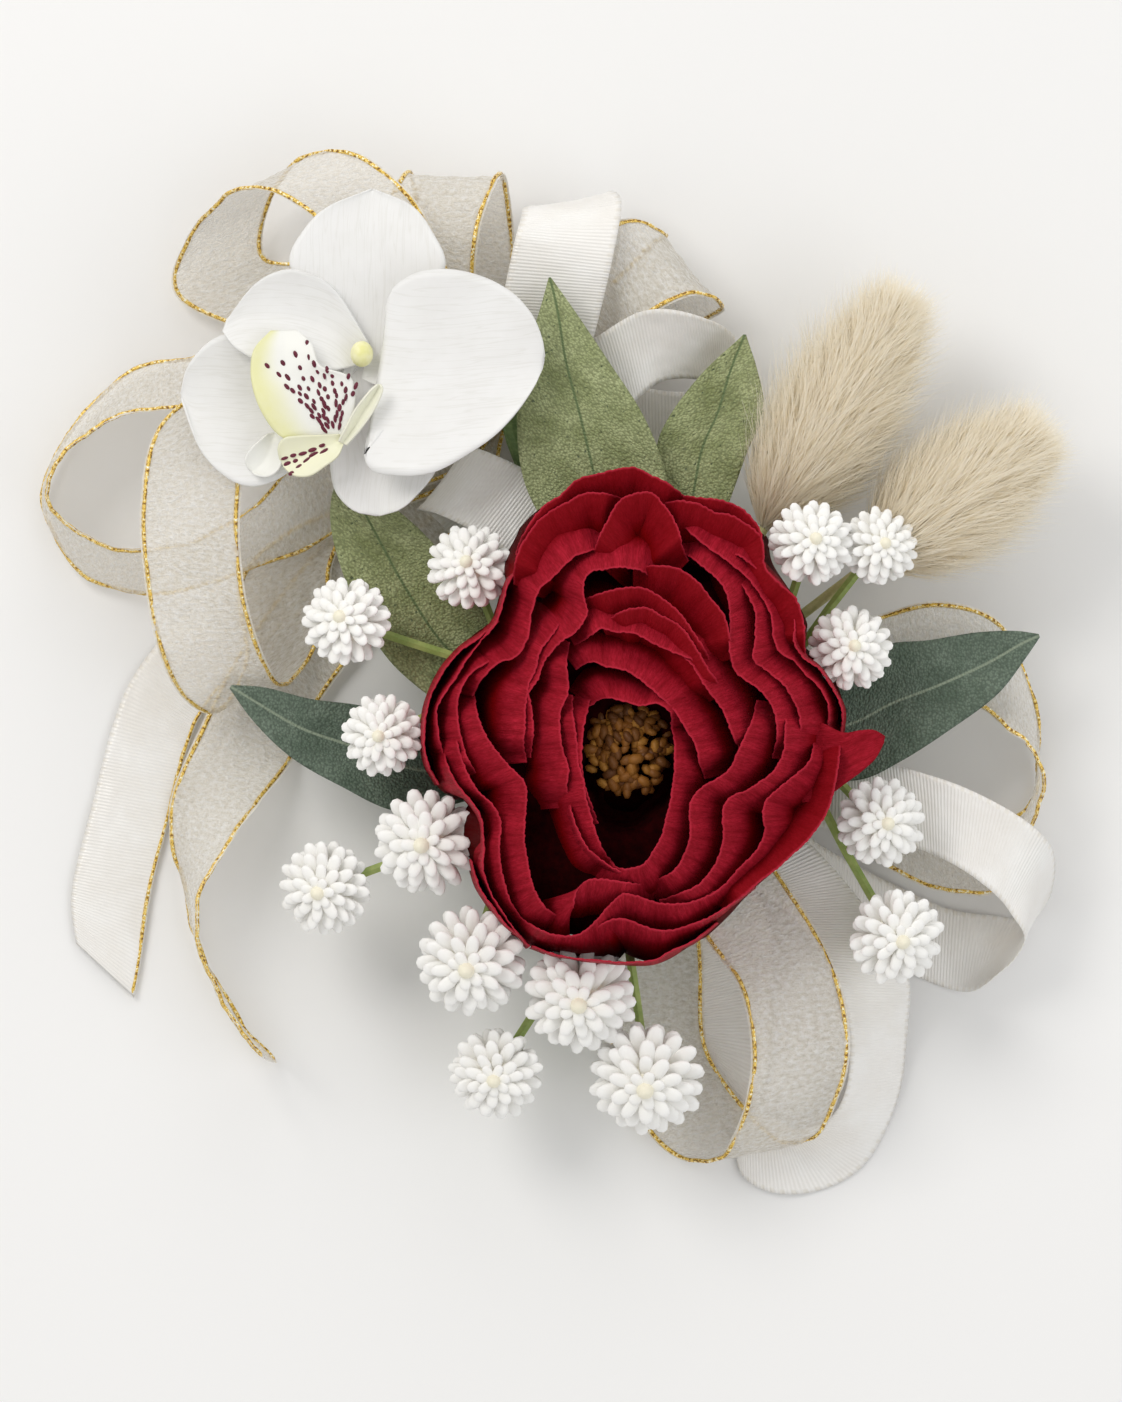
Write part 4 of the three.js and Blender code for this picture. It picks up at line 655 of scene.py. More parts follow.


# The lists below are the part's own, in shares of the spread from the hub: x to the right,
# y up. Ribbons have their width, the slots or heights where they are bound, and stations with both edges.
RIBBONS = {
    "sheer_loop_upper_left": ("bow", SHEER_WIDTH, (15, 6), [
        [-0.265, 0.445, 0.128, -0.180, 0.460, 0.128], [-0.317, 0.524, 0.138, -0.218, 0.548, 0.138],
        [-0.375, 0.552, 0.120, -0.268, 0.594, 0.120], [-0.417, 0.545, 0.085, -0.310, 0.598, 0.085],
        [-0.454, 0.505, 0.040, -0.357, 0.555, 0.040], [-0.462, 0.455, 0.018, -0.370, 0.495, 0.018],
        [-0.392, 0.420, 0.022, -0.322, 0.485, 0.022], [-0.290, 0.385, 0.032, -0.240, 0.465, 0.032],
    ]),
    "sheer_loop_top": ("bow", SHEER_WIDTH, (13, 5), [
        [-0.240, 0.447, 0.085, -0.165, 0.447, 0.085], [-0.252, 0.520, 0.110, -0.153, 0.514, 0.110],
        [-0.241, 0.567, 0.095, -0.129, 0.565, 0.095], [-0.232, 0.573, 0.060, -0.121, 0.569, 0.060],
        [-0.224, 0.545, 0.025, -0.115, 0.533, 0.025], [-0.214, 0.475, 0.018, -0.114, 0.465, 0.018],
    ]),
    "sheer_loop_upper_right": ("bow", SHEER_WIDTH, (10, 4), [
        [-0.052, 0.432, 0.072, -0.015, 0.392, 0.072], [-0.032, 0.505, 0.100, 0.008, 0.431, 0.100],
        [0.003, 0.523, 0.098, 0.058, 0.456, 0.098], [0.036, 0.509, 0.065, 0.086, 0.445, 0.065],
        [0.018, 0.505, 0.020, 0.073, 0.427, 0.020], [-0.032, 0.455, 0.012, 0.028, 0.385, 0.012],
    ]),
    "sheer_loop_left": ("bow", SHEER_WIDTH, (9, 3), [
        [-0.332, 0.400, 0.054, -0.342, 0.340, 0.086], [-0.434, 0.395, 0.022, -0.449, 0.338, 0.095],
        [-0.505, 0.380, 0.010, -0.516, 0.330, 0.096], [-0.574, 0.311, 0.008, -0.568, 0.293, 0.104],
        [-0.596, 0.242, 0.006, -0.589, 0.250, 0.104], [-0.566, 0.181, 0.008, -0.557, 0.215, 0.100],
        [-0.497, 0.150, 0.012, -0.493, 0.194, 0.100], [-0.372, 0.185, 0.042, -0.382, 0.230, 0.106],
        [-0.262, 0.245, 0.042, -0.290, 0.325, 0.042],
    ]),
    "sheer_loop_lower_left": ("bow", SHEER_WIDTH, (12, 2), [
        [-0.292, 0.387, 0.090, -0.282, 0.307, 0.090], [-0.460, 0.330, 0.132, -0.378, 0.355, 0.132],
        [-0.490, 0.242, 0.142, -0.392, 0.242, 0.142], [-0.488, 0.166, 0.138, -0.387, 0.160, 0.138],
        [-0.474, 0.092, 0.118, -0.374, 0.106, 0.118], [-0.447, 0.045, 0.078, -0.355, 0.060, 0.078],
        [-0.417, 0.033, 0.038, -0.332, 0.075, 0.038], [-0.392, 0.085, 0.026, -0.304, 0.135, 0.026],
        [-0.392, 0.165, 0.024, -0.306, 0.185, 0.024], [-0.310, 0.235, 0.029, -0.255, 0.285, 0.029],
    ]),
    "satin_loop_top": ("bow", SHEER_WIDTH, (14, 7), [
        [-0.131, 0.427, 0.100, -0.041, 0.417, 0.100], [-0.115, 0.505, 0.124, -0.020, 0.495, 0.124],
        [-0.100, 0.533, 0.105, -0.020, 0.540, 0.105], [-0.092, 0.540, 0.090, -0.036, 0.552, 0.050],
        [-0.102, 0.510, 0.046, -0.022, 0.505, 0.046], [-0.122, 0.445, 0.050, -0.042, 0.425, 0.050],
    ]),
    "satin_loop_upper_right": ("bow", SATIN_WIDTH, (11, 8), [
        [-0.036, 0.397, 0.086, -0.020, 0.342, 0.086], [0.018, 0.427, 0.116, 0.028, 0.374, 0.090],
        [0.073, 0.420, 0.100, 0.080, 0.373, 0.065], [0.103, 0.400, 0.060, 0.103, 0.345, 0.030],
        [0.068, 0.350, 0.030, 0.068, 0.290, 0.030], [-0.012, 0.355, 0.034, -0.012, 0.295, 0.034],
    ]),
    "satin_tail": ("bow", SATIN_WIDTH, (0,), [
        [-0.272, 0.275, 0.010, -0.232, 0.195, 0.010], [-0.402, 0.185, 0.004, -0.362, 0.105, 0.004],
        [-0.498, 0.075, 0.004, -0.437, 0.030, 0.004], [-0.522, 0.020, 0.004, -0.450, 0, 0.004],
        [-0.543, -0.056, 0.004, -0.467, -0.070, 0.004], [-0.567, -0.142, 0.004, -0.486, -0.160, 0.004],
        [-0.574, -0.190, 0.004, -0.491, -0.268, 0.004],
    ]),
    "sheer_tail": ("bow", SHEER_WIDTH, (1,), [
        [-0.272, 0.245, 0.019, -0.212, 0.185, 0.019], [-0.382, 0.105, 0.013, -0.322, 0.045, 0.013],
        [-0.432, 0.010, 0.014, -0.349, -0.013, 0.014], [-0.464, -0.073, 0.014, -0.397, -0.080, 0.070],
        [-0.454, -0.145, 0.008, -0.432, -0.145, 0.102], [-0.440, -0.200, 0.004, -0.434, -0.205, 0.104],
        [-0.397, -0.280, 0.004, -0.400, -0.277, 0.104], [-0.359, -0.323, 0.004, -0.370, -0.313, 0.104],
    ]),
    "satin_bridge_loop": ("barrel", SATIN_WIDTH, (0.096, 0.070), [
        [-0.072, 0.125, 0.104, -0.042, 0.165, 0.104], [-0.127, 0.195, 0.120, -0.082, 0.255, 0.120],
        [-0.182, 0.235, 0.112, -0.142, 0.283, 0.112], [-0.205, 0.248, 0.085, -0.175, 0.288, 0.085],
        [-0.192, 0.238, 0.062, -0.152, 0.278, 0.062], [-0.132, 0.165, 0.054, -0.087, 0.210, 0.054],
    ]),
    "sheer_loop_bottom": ("barrel", SHEER_WIDTH, (0.097, 0.076), [
        [0.089, -0.181, 0.108, 0.138, -0.150, 0.108], [0.116, -0.240, 0.122, 0.196, -0.230, 0.122],
        [0.125, -0.312, 0.118, 0.213, -0.303, 0.118], [0.113, -0.370, 0.095, 0.206, -0.353, 0.095],
        [0.092, -0.415, 0.055, 0.183, -0.397, 0.055], [0.058, -0.420, 0.022, 0.148, -0.400, 0.022],
        [0.023, -0.390, 0.012, 0.103, -0.360, 0.012], [-0.012, -0.305, 0.012, 0.068, -0.305, 0.012],
        [-0.012, -0.215, 0.030, 0.058, -0.215, 0.030],
    ]),
    "satin_loop_bottom": ("barrel", SATIN_WIDTH, (0.086, 0.069), [
        [0.158, -0.160, 0.085, 0.218, -0.155, 0.085], [0.202, -0.217, 0.088, 0.266, -0.220, 0.080],
        [0.224, -0.285, 0.075, 0.275, -0.285, 0.030], [0.218, -0.365, 0.050, 0.261, -0.363, 0.012],
        [0.183, -0.400, 0.025, 0.213, -0.425, 0.006], [0.138, -0.385, 0.005, 0.143, -0.443, 0.005],
        [0.103, -0.355, 0.004, 0.108, -0.421, 0.004], [0.068, -0.275, 0.004, 0.138, -0.265, 0.004],
        [0.068, -0.200, 0.026, 0.133, -0.180, 0.026],
    ]),
    "sheer_loop_right": ("barrel", SHEER_WIDTH, (0.088, 0.070), [
        [0.230, 0.120, 0.080, 0.228, 0.030, 0.080], [0.310, 0.134, 0.090, 0.318, 0.055, 0.090],
        [0.364, 0.116, 0.085, 0.362, 0.040, 0.090], [0.405, 0.038, 0.030, 0.400, 0.000, 0.100],
        [0.412, -0.015, 0.012, 0.411, -0.050, 0.090], [0.393, -0.075, 0.010, 0.385, -0.110, 0.070],
        [0.338, -0.095, 0.012, 0.353, -0.140, 0.060], [0.258, -0.045, 0.020, 0.262, -0.113, 0.040],
        [0.190, 0.015, 0.045, 0.195, -0.045, 0.045],
    ]),
    "satin_loop_right": ("barrel", SATIN_WIDTH, (0.094, 0.080), [
        [0.265, -0.025, 0.099, 0.273, -0.095, 0.099], [0.341, -0.049, 0.112, 0.333, -0.123, 0.112],
        [0.410, -0.097, 0.105, 0.378, -0.157, 0.105], [0.422, -0.145, 0.040, 0.395, -0.193, 0.085],
        [0.398, -0.180, 0.004, 0.368, -0.230, 0.035], [0.338, -0.170, 0.004, 0.331, -0.250, 0.004],
        [0.268, -0.145, 0.006, 0.263, -0.220, 0.006], [0.174, -0.100, 0.040, 0.166, -0.160, 0.040],
    ]),
}
LEAVES = {  # stations with both edges and one height
    "leaf_top": [
      [-0.018, 0.135, -0.006, 0.135, 0.128], [-0.062, 0.185, 0.023, 0.190, 0.138],
      [-0.105, 0.255, 0.036, 0.255, 0.146], [-0.115, 0.325, 0.013, 0.325, 0.150],
      [-0.108, 0.385, -0.025, 0.385, 0.150], [-0.092, 0.435, -0.057, 0.433, 0.146],
      [-0.083, 0.467, -0.081, 0.467, 0.142],
    ],
    "leaf_upper_right": [
      [0.023, 0.125, 0.035, 0.123, 0.116], [0.018, 0.185, 0.068, 0.175, 0.118],
      [0.023, 0.245, 0.096, 0.240, 0.122], [0.025, 0.300, 0.116, 0.295, 0.122],
      [0.040, 0.333, 0.132, 0.333, 0.120], [0.073, 0.375, 0.125, 0.377, 0.116],
      [0.112, 0.411, 0.114, 0.411, 0.112],
    ],
    "leaf_upper_left": [
      [-0.092, 0.045, -0.076, 0.073, 0.112], [-0.162, 0.030, -0.112, 0.090, 0.112],
      [-0.232, 0.073, -0.142, 0.125, 0.112], [-0.274, 0.135, -0.177, 0.175, 0.114],
      [-0.299, 0.205, -0.212, 0.215, 0.119], [-0.301, 0.245, -0.247, 0.245, 0.126],
      [-0.290, 0.277, -0.287, 0.277, 0.130],
    ],
    "leaf_left": [
      [-0.092, -0.030, -0.089, -0.017, 0.112], [-0.162, -0.055, -0.152, 0, 0.112],
      [-0.232, -0.067, -0.212, 0.020, 0.112], [-0.292, -0.041, -0.270, 0.039, 0.110],
      [-0.342, -0.012, -0.322, 0.046, 0.108], [-0.382, 0.027, -0.370, 0.058, 0.108],
      [-0.403, 0.057, -0.401, 0.060, 0.108],
    ],
    "leaf_right": [
      [0.088, 0, 0.090, 0.013, 0.112], [0.158, -0.030, 0.160, 0.045, 0.112],
      [0.228, -0.035, 0.218, 0.080, 0.112], [0.268, -0.017, 0.253, 0.100, 0.114],
      [0.318, 0.015, 0.298, 0.105, 0.118], [0.368, 0.053, 0.348, 0.113, 0.122],
      [0.396, 0.090, 0.386, 0.114, 0.124], [0.408, 0.108, 0.407, 0.111, 0.124],
    ],
}
DARK_LEAVES = ("leaf_left", "leaf_right")
ORCHID_LOBES = {  # stations as the leaves have, with heights in millimetres
    "orchid_sepals": [
      [
        [-0.282, 0.380, -0.256, 0.380, 0], [-0.322, 0.445, -0.207, 0.445, 1.5],
        [-0.341, 0.480, -0.186, 0.477, 2.2], [-0.330, 0.509, -0.198, 0.509, 2.2],
        [-0.302, 0.537, -0.222, 0.539, 1.6], [-0.260, 0.554, -0.258, 0.554, 1],
      ],
      [
        [-0.275, 0.375, -0.263, 0.403, 0], [-0.318, 0.308, -0.318, 0.400, 1],
        [-0.345, 0.270, -0.362, 0.409, 1.2], [-0.380, 0.258, -0.388, 0.412, 1.2],
        [-0.412, 0.273, -0.421, 0.402, 1], [-0.434, 0.302, -0.444, 0.375, 0.8],
        [-0.449, 0.345, -0.450, 0.350, 0.6],
      ],
      [
        [-0.254, 0.398, -0.284, 0.398, 0], [-0.215, 0.325, -0.297, 0.325, 0.6],
        [-0.194, 0.282, -0.301, 0.279, 0.8], [-0.212, 0.252, -0.292, 0.247, 0.8],
        [-0.236, 0.233, -0.270, 0.231, 0.6], [-0.252, 0.229, -0.255, 0.229, 0.6],
      ],
    ],
    "orchid_petals": [
      [
        [-0.262, 0.400, -0.276, 0.378, 0], [-0.296, 0.453, -0.300, 0.373, 1.2],
        [-0.324, 0.470, -0.333, 0.378, 2], [-0.352, 0.471, -0.372, 0.383, 2.2],
        [-0.378, 0.456, -0.396, 0.396, 2], [-0.404, 0.423, -0.408, 0.412, 1.6],
      ],
    ],
}
HEADS = [  # middle, radius and height of each spray flower
    [-0.161, 0.176, 0.039, 0.160], [-0.283, 0.123, 0.040, 0.158], [-0.248, 0.010, 0.037, 0.160],
    [-0.204, -0.095, 0.048, 0.155], [-0.305, -0.142, 0.042, 0.120], [-0.159, -0.214, 0.050, 0.150],
    [-0.051, -0.250, 0.050, 0.150], [-0.135, -0.327, 0.042, 0.110], [0.015, -0.330, 0.052, 0.126],
    [0.176, 0.200, 0.038, 0.204], [0.244, 0.197, 0.035, 0.182], [0.216, 0.096, 0.038, 0.175],
    [0.246, -0.077, 0.040, 0.156], [0.262, -0.190, 0.043, 0.145],
]


def ribbon_shape(name):
    """A ribbon's kind, width, bound heights and stations, in table steps and millimetres."""
    kind, width, ends, rows = RIBBONS[name]
    bound = [BOW_LEVEL + BOW_SLOT * end + FLOOR_SHIFT if kind == "bow" else level_of(end) for end in ends]
    stations = [
        (*place_of(xa, ya), level_of(za), *place_of(xb, yb), level_of(zb)) for xa, ya, za, xb, yb, zb in rows
    ]
    return kind, width, bound, stations


BOW = (500, 400)  # where the ribbons under the orchid are bound
BARREL_RADIUS = 9.3
BOUND_RUN = 11  # millimetres that a bound end runs level before it fans out
PINCHED = 5  # width of a bound end, in millimetres
RIBBON_POINTS = 150
RIBBON_CLEARANCE = 0.35  # least height of cloth over the floor, in millimetres
NO_THREAD = (0.3, 0.2, 0.93)  # a direction in which no thread, stalk or cane runs
THREAD_INSET = 0.04  # how far the gold threads stand in from the edges, as a share of the width


def ribbon_line(kind, ends, stations):
    """Centres and width directions along a ribbon, in metres, with its bound ends."""
    centres, sides = [], []
    for xa, ya, za, xb, yb, zb in stations:
        a, b = np.array(at(xa, ya, za)), np.array(at(xb, yb, zb))
        centres.append((a + b) / 2)
        sides.append(unit(b - a))

    def bound(height, centre, side):
        if kind == "bow":
            anchor = np.array(at(*BOW, height))
        else:
            way = (centre - [*HUB, 0]) * [1, 1, 0]
            anchor = np.array([*HUB, height * MM]) + unit(way) * BARREL_RADIUS * MM
        out = unit((centre - anchor) * [1, 1, 0])
        across = np.array([-out[1], out[0], 0])
        across *= 1 if across @ side > 0 else -1
        return [(anchor, across), (anchor + out * BOUND_RUN * MM, across)]

    line = bound(ends[0], centres[0], sides[0]) + list(zip(centres, sides))
    if len(ends) == 2:
        line += bound(ends[1], centres[-1], sides[-1])[::-1]
    line = spline([[*c, *s] for c, s in line], RIBBON_POINTS)
    return line[:, :3], unit(line[:, 3:])


def tubes(cloth, line, radius, sides=6):
    """A round thread along a line, closed at both ends by its taper."""
    ahead = unit(np.gradient(line, axis=0))
    up = unit(np.cross(ahead, NO_THREAD))
    out = np.cross(ahead, up)
    size = np.full(len(line), radius)
    size[0] = size[-1] = radius * 0.02
    turn = np.linspace(0, 2 * math.pi, sides, endpoint=False)
    rows = line[None] + circle(turn, up, out) * size[None, :, None]
    places = np.stack(np.meshgrid(turn, running(line) / MM, indexing="ij"), -1)
    cloth.grid(rows, places, closed=True)


def ribbon(name, rng, paints):
    """One ribbon: its gathered ends, its crinkles and, on sheer cloth, a gold thread along each edge."""
    kind, width, ends, stations = ribbon_shape(name)
    sheer = name.startswith("sheer")
    centre, side = ribbon_line(kind, ends, stations)
    run = running(centre) / MM
    near_end = np.minimum(run, run[-1] - run if len(ends) == 2 else 99)
    opened = smooth(near_end, 0, 12)
    half = (PINCHED + (width - PINCHED) * opened) / 2 * MM
    normal = unit(np.cross(np.gradient(centre, axis=0), side))
    across = np.linspace(-1, 1, 17)
    crinkle = settings().ribbon_crinkle * (1.0 if sheer else 0.35)
    depth = np.stack([
        ripple(rng, run, (0.35, 0.6), 0.22) * (0.4 + u * u) + ripple(rng, run + u * 1.5, (1.1, 1.9), 0.1)
        for u in across
    ], 1) * crinkle * (0.2 + 0.8 * opened[:, None])
    gather = np.cos(across * 3.2 * math.pi)[None] * 0.22 * (1 - smooth(near_end, 2, 24))[:, None]
    bow = (0.5 - across**2)[None] * 0.35 * opened[:, None]
    shift = (depth + gather + bow) * MM
    rows = centre[:, None] + side[:, None] * (half[:, None] * across)[..., None] + normal[:, None] * shift[..., None]
    rows[..., 2] = np.maximum(rows[..., 2], RIBBON_CLEARANCE * MM)
    places = np.stack(np.broadcast_arrays(across[None], run[:, None]), -1)
    cloth = Cloth()
    cloth.grid(rows, places)
    piece = cloth.build(name + "_cloth", paints["sheer" if sheer else "satin"], 0 if sheer else SHEET_THICKNESS)
    threads = []
    if sheer or name == "satin_tail":
        edge = Cloth()
        for k in (0, -1) if sheer else (-1,):
            line = rows[:, k] * (1 - THREAD_INSET) + rows[:, -1 - k] * THREAD_INSET
            tubes(edge, line, settings().thread_width / 2 * MM)
        threads = [edge.build(name + "_edges", paints["gold"])]
    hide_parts(name)


def ribbons():
    """All ribbons, each with its own ripples."""
    rng = np.random.default_rng(settings().seed + 1)
    paints = {"sheer": sheer_paint(), "satin": satin_paint(), "gold": gold_paint()}
    for name in RIBBONS:
        ribbon(name, rng, paints)


def blade_rows(stations, level, crease, length_steps, width_steps, wave, cup=0.0):
    """The grid of a leaf or lobe between its two outlines, with a crease down its middle."""
    middles = [((xa + xb) / 2, (ya + yb) / 2, 0) for xa, ya, xb, yb, _ in stations]
    line = spline([(*middle, *station) for middle, station in zip(middles, stations)], length_steps)
    run = running(line[:, :2]) * STEP / MM
    across = np.linspace(-1, 1, width_steps)
    span = np.hypot(line[:, 3] - line[:, 5], line[:, 4] - line[:, 6]) * STEP / MM
    broad = span / span.max()
    rows, places = [], []
    for u in across:
        s = (u + 1) / 2
        x, y = line[:, 3] * (1 - s) + line[:, 5] * s, line[:, 4] * (1 - s) + line[:, 6] * s
        z = level + line[:, 7] - crease * (1 - abs(u)) * broad + cup * (u * u - 0.4) * broad
        z = z + ripple(np.random.default_rng(7 + (u > 0)), run, (0.25, 0.5), wave) * u * u
        rows.append([at(*p) for p in zip(x, y, z)])
        places.append(np.stack([u * span / 2, run], 1))
    area = float(np.sum((span[1:] + span[:-1]) / 2 * np.diff(run))) * MM * MM
    return np.array(rows).transpose(1, 0, 2), np.stack(places, 1), area


def leaves():
    """Cloth leaves with a stitched midrib, and their taped stalks."""
    light = leaf_paint("light_leaf", (0.25, 0.29, 0.12), (0.48, 0.53, 0.28), (0.12, 0.17, 0.07), 0.8)
    dark = leaf_paint("dark_leaf", (0.095, 0.138, 0.098), (0.18, 0.235, 0.18), (0.25, 0.30, 0.22), 0.2)
    for name, shares in LEAVES.items():
        stations = [(*place_of(xa, ya), *place_of(xb, yb), level_of(z)) for xa, ya, xb, yb, z in shares]
        cloth = Cloth()
        rows, places, area = blade_rows(stations, 0, 1.2, 60, 21, 0.3)
        cloth.grid(rows, places)
        root, inner = (np.array([(xa + xb) / 2, (ya + yb) / 2]) for xa, ya, xb, yb, _ in stations[:2])
        under = stations[0][4] - 0.9  # the stalk runs under the leaf's foot
        start = np.array(TABLE_HUB) + unit(root - TABLE_HUB) * BARREL_RADIUS * MM / STEP
        stalk = Cloth()
        route = [at(*start, under), at(*((start + root) / 2), under), at(*root, under + 0.1)]
        route.append(at(*(root * 0.6 + inner * 0.4), under))
        tubes(stalk, spline(route, 30), 0.5 * MM, 8)
        paint, slot = (dark, "dark_leaf") if name in DARK_LEAVES else (light, "light_leaf")
        piece = cloth.build(name + "_cloth", paint, SHEET_THICKNESS)
        green = plain_paint("stalk_green", (0.2, 0.28, 0.1), (0.3, 0.38, 0.15), 0.6)
        stem = stalk.build(name + "_stalk", green)
        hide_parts(name)


ORCHID = (363, 356)  # where the column stands
ORCHID_LEVEL = 23.95  # height of the sepals' feet, in millimetres
COLUMN_RADIUS = 1.7
COLUMN_LIFT = 4.4  # the column's middle stands so far over them
ORCHID_STACK = {"orchid_sepals": 0.0, "orchid_petals": 1.6, "orchid_lip": 3.2}  # height over ORCHID_LEVEL
LIP_LOBES = [  # stations across the large side lobe, the front lobe, the small side lobe and the tab behind
    [(272, 333, 298, 332, 1.4), (257, 350, 313, 346, 2.6), (253, 374, 322, 368, 3.2), (258, 400, 351, 379, 3.5),
     (268, 421, 356, 396, 3.2), (281, 437, 355, 415, 2.6), (300, 446, 346, 436, 1.9), (320, 451, 336, 449, 1.4)],
    [(341, 436, 345, 446, 2.0), (322, 437, 340, 457, 2.6), (300, 438, 328, 467, 2.9), (285, 441, 309, 478, 2.7),
     (280, 452, 292, 475, 2.3), (282, 461, 285, 468, 1.9)],
    [(340, 443, 348, 447, 2.4), (346, 432, 362, 431, 3.1), (356, 413, 373, 416, 3.6), (366, 400, 381, 401, 4.0),
     (374, 391, 384, 391, 4.2), (379, 387, 382, 387, 4.3)],
    [(268, 436, 286, 430, 0.2), (251, 452, 282, 468, 0.4), (247, 462, 268, 478, 0.3), (250, 470, 256, 476, 0.2)],
]
RIGHT_PETAL = [  # the scene's own outline of the large right petal, narrow at its foot
    (366, 366, 363, 380, 0), (383, 350, 386, 393, 1.2), (389, 328, 397, 408, 2.0), (387, 308, 384, 434, 2.8),
    (392, 293, 367, 452, 3.4), (408, 280, 370, 469, 3.7), (432, 273, 398, 477, 4.0), (463, 274, 434, 474, 4.0),
    (496, 285, 470, 455, 3.8), (521, 303, 500, 433, 3.4), (537, 326, 524, 405, 3.0), (544, 348, 538, 382, 2.5),
    (545, 358, 543, 370, 2.2),
]
LIP_FOCUS = (337, 444)  # the throat that the lip's spots run out from
SPOT_GAP = 4.6  # least distance between spots, in table steps


def lip_spots(rows):
    """Wine spots on the lip, small and far apart at its edge and crowded towards the throat."""
    rng = np.random.default_rng(settings().seed + 3)
    spots, ground = Cloth(), np.concatenate([r.reshape(-1, 3) for r in rows])
    turn = np.linspace(0, 2 * math.pi, 10, endpoint=False)
    marks = []
    for k, u in enumerate(np.linspace(0, 1, 14)):
        for a in np.linspace(80 - k, 140 - 1.2 * k, max(3, 11 - k // 2)):
            marks.append((18 + 84 * u**1.15, math.radians(a + rng.normal(0, 3.5))))
    marks += [(far, math.radians(a)) for far in (14, 24, 34, 44, 53) for a in (197, 205, 214)]
    placed = []
    for far, angle in marks:
        x, y = LIP_FOCUS[0] + far * math.cos(angle), LIP_FOCUS[1] - far * math.sin(angle) + rng.normal(0, 1)
        point = np.array(at(x, y, 0))
        near = ground[np.argmin(np.hypot(*(ground[:, :2] - point[:2]).T))]
        off_lip = np.hypot(*(near[:2] - point[:2])) > 0.5 * MM
        if off_lip or any(np.hypot(x - a, y - b) < SPOT_GAP for a, b in placed):
            continue
        placed.append((x, y))
        long = rng.uniform(2.6, 4.2) * STEP * (1.3 if far < 40 else 1)
        wide = rng.uniform(1.6, 2.2) * STEP
        way = np.array([math.cos(angle), math.sin(angle), 0])
        side = np.array([-way[1], way[0], 0])
        rim = np.array([*point[:2], near[2] + 0.22 * MM]) + circle(turn, way * long, side * wide)[:, 0]
        top = rim.mean(0) + [0, 0, 0.1 * MM]
        spots.grid(np.stack([rim, rim * 0.4 + top * 0.6, np.broadcast_to(top, rim.shape)], 1), (0, 0), closed=True)
    return spots


def orchid():
    """The moth orchid's sepals, petals, spotted lip and column."""
    shapes = {
        name: [[(*place_of(xa, ya), *place_of(xb, yb), z) for xa, ya, xb, yb, z in lobe] for lobe in lobes]
        for name, lobes in ORCHID_LOBES.items()
    }
    shapes["orchid_petals"].append(RIGHT_PETAL)
    shapes["orchid_lip"] = LIP_LOBES
    lip_yellow = (smooth(-np.linspace(-1, 1, 25)[None], 0.1, 0.9), 0.55, 0.3, 0.0)  # by lobe
    for name, lobes in shapes.items():
        cloth = Cloth()
        lip = name == "orchid_lip"
        level = ORCHID_LEVEL + ORCHID_STACK[name]
        lobe_rows = []
        for k, stations in enumerate(lobes):
            rows, places, area = blade_rows(stations, level, 0.5, 48, 25, 0.3, 0.9 if lip else 1.5)
            cloth.grid(rows, places, lip_yellow[k] if lip else 0.0)
            cloth.area += area
            lobe_rows.append(rows)
        piece = cloth.build(name + "_cloth", lip_paint() if lip else orchid_paint(), 0.3 * MM)
        spots = []
        if lip:
            wine = plain_paint("wine_spot", (0.09, 0.004, 0.018), (0.14, 0.008, 0.03), 0.5)
            spots = [lip_spots(lobe_rows).build("orchid_lip_spots", wine)]
        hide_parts(name)
    select_none()
    bpy.ops.mesh.primitive_uv_sphere_add(segments=32, ring_count=20, radius=COLUMN_RADIUS * MM, location=(0, 0, 0))
    column = bpy.context.object
    column.name = "orchid_column_cap"
    bpy.ops.object.mode_set(mode="EDIT")
    bpy.ops.mesh.select_all(action="SELECT")
    bpy.ops.transform.resize(value=(1, 1.15, 1.25), center_override=(0, 0, 0))
    bpy.ops.transform.translate(value=at(*ORCHID, ORCHID_LEVEL + COLUMN_LIFT))
    bpy.ops.object.mode_set(mode="OBJECT")
    bpy.ops.object.shade_smooth()
    column.data.materials.append(plain_paint("column_yellow", (0.80, 0.78, 0.34), (0.92, 0.90, 0.58), 0.4, 0.5))
    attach(column, "root")
    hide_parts("orchid_column")


def select_none():
    """Leaves edit mode and selects nothing, so that the next piece starts clean."""
    if bpy.context.object and bpy.context.object.mode != "OBJECT":
        bpy.ops.object.mode_set(mode="OBJECT")
    bpy.ops.object.select_all(action="DESELECT")


HEAD_LEAN = 0.35 / 340  # how far a head leans outwards, for each table step from the hub
HEAD_SCALE = 1.08  # petals reach a little past the solid head
FLORET_THICKNESS = 0.42  # of a petal, as a share of its width
FLORET_RINGS = (  # petals, distance from the middle, height, half length, half width: shares of the head's radius
    (7, 0.20, 0.66, 0.19, 0.12), (10, 0.38, 0.58, 0.28, 0.145), (13, 0.55, 0.42, 0.34, 0.16),
    (16, 0.69, 0.20, 0.36, 0.165), (15, 0.66, -0.08, 0.34, 0.165), (11, 0.48, -0.34, 0.30, 0.16),
)
CALYX_RINGS = ((0, 0.05, 1.02), (0.3, 0.22, 0.98), (0.6, 0.42, 0.84), (1, 0.5, 0.62))  # ruffle, radius, depth


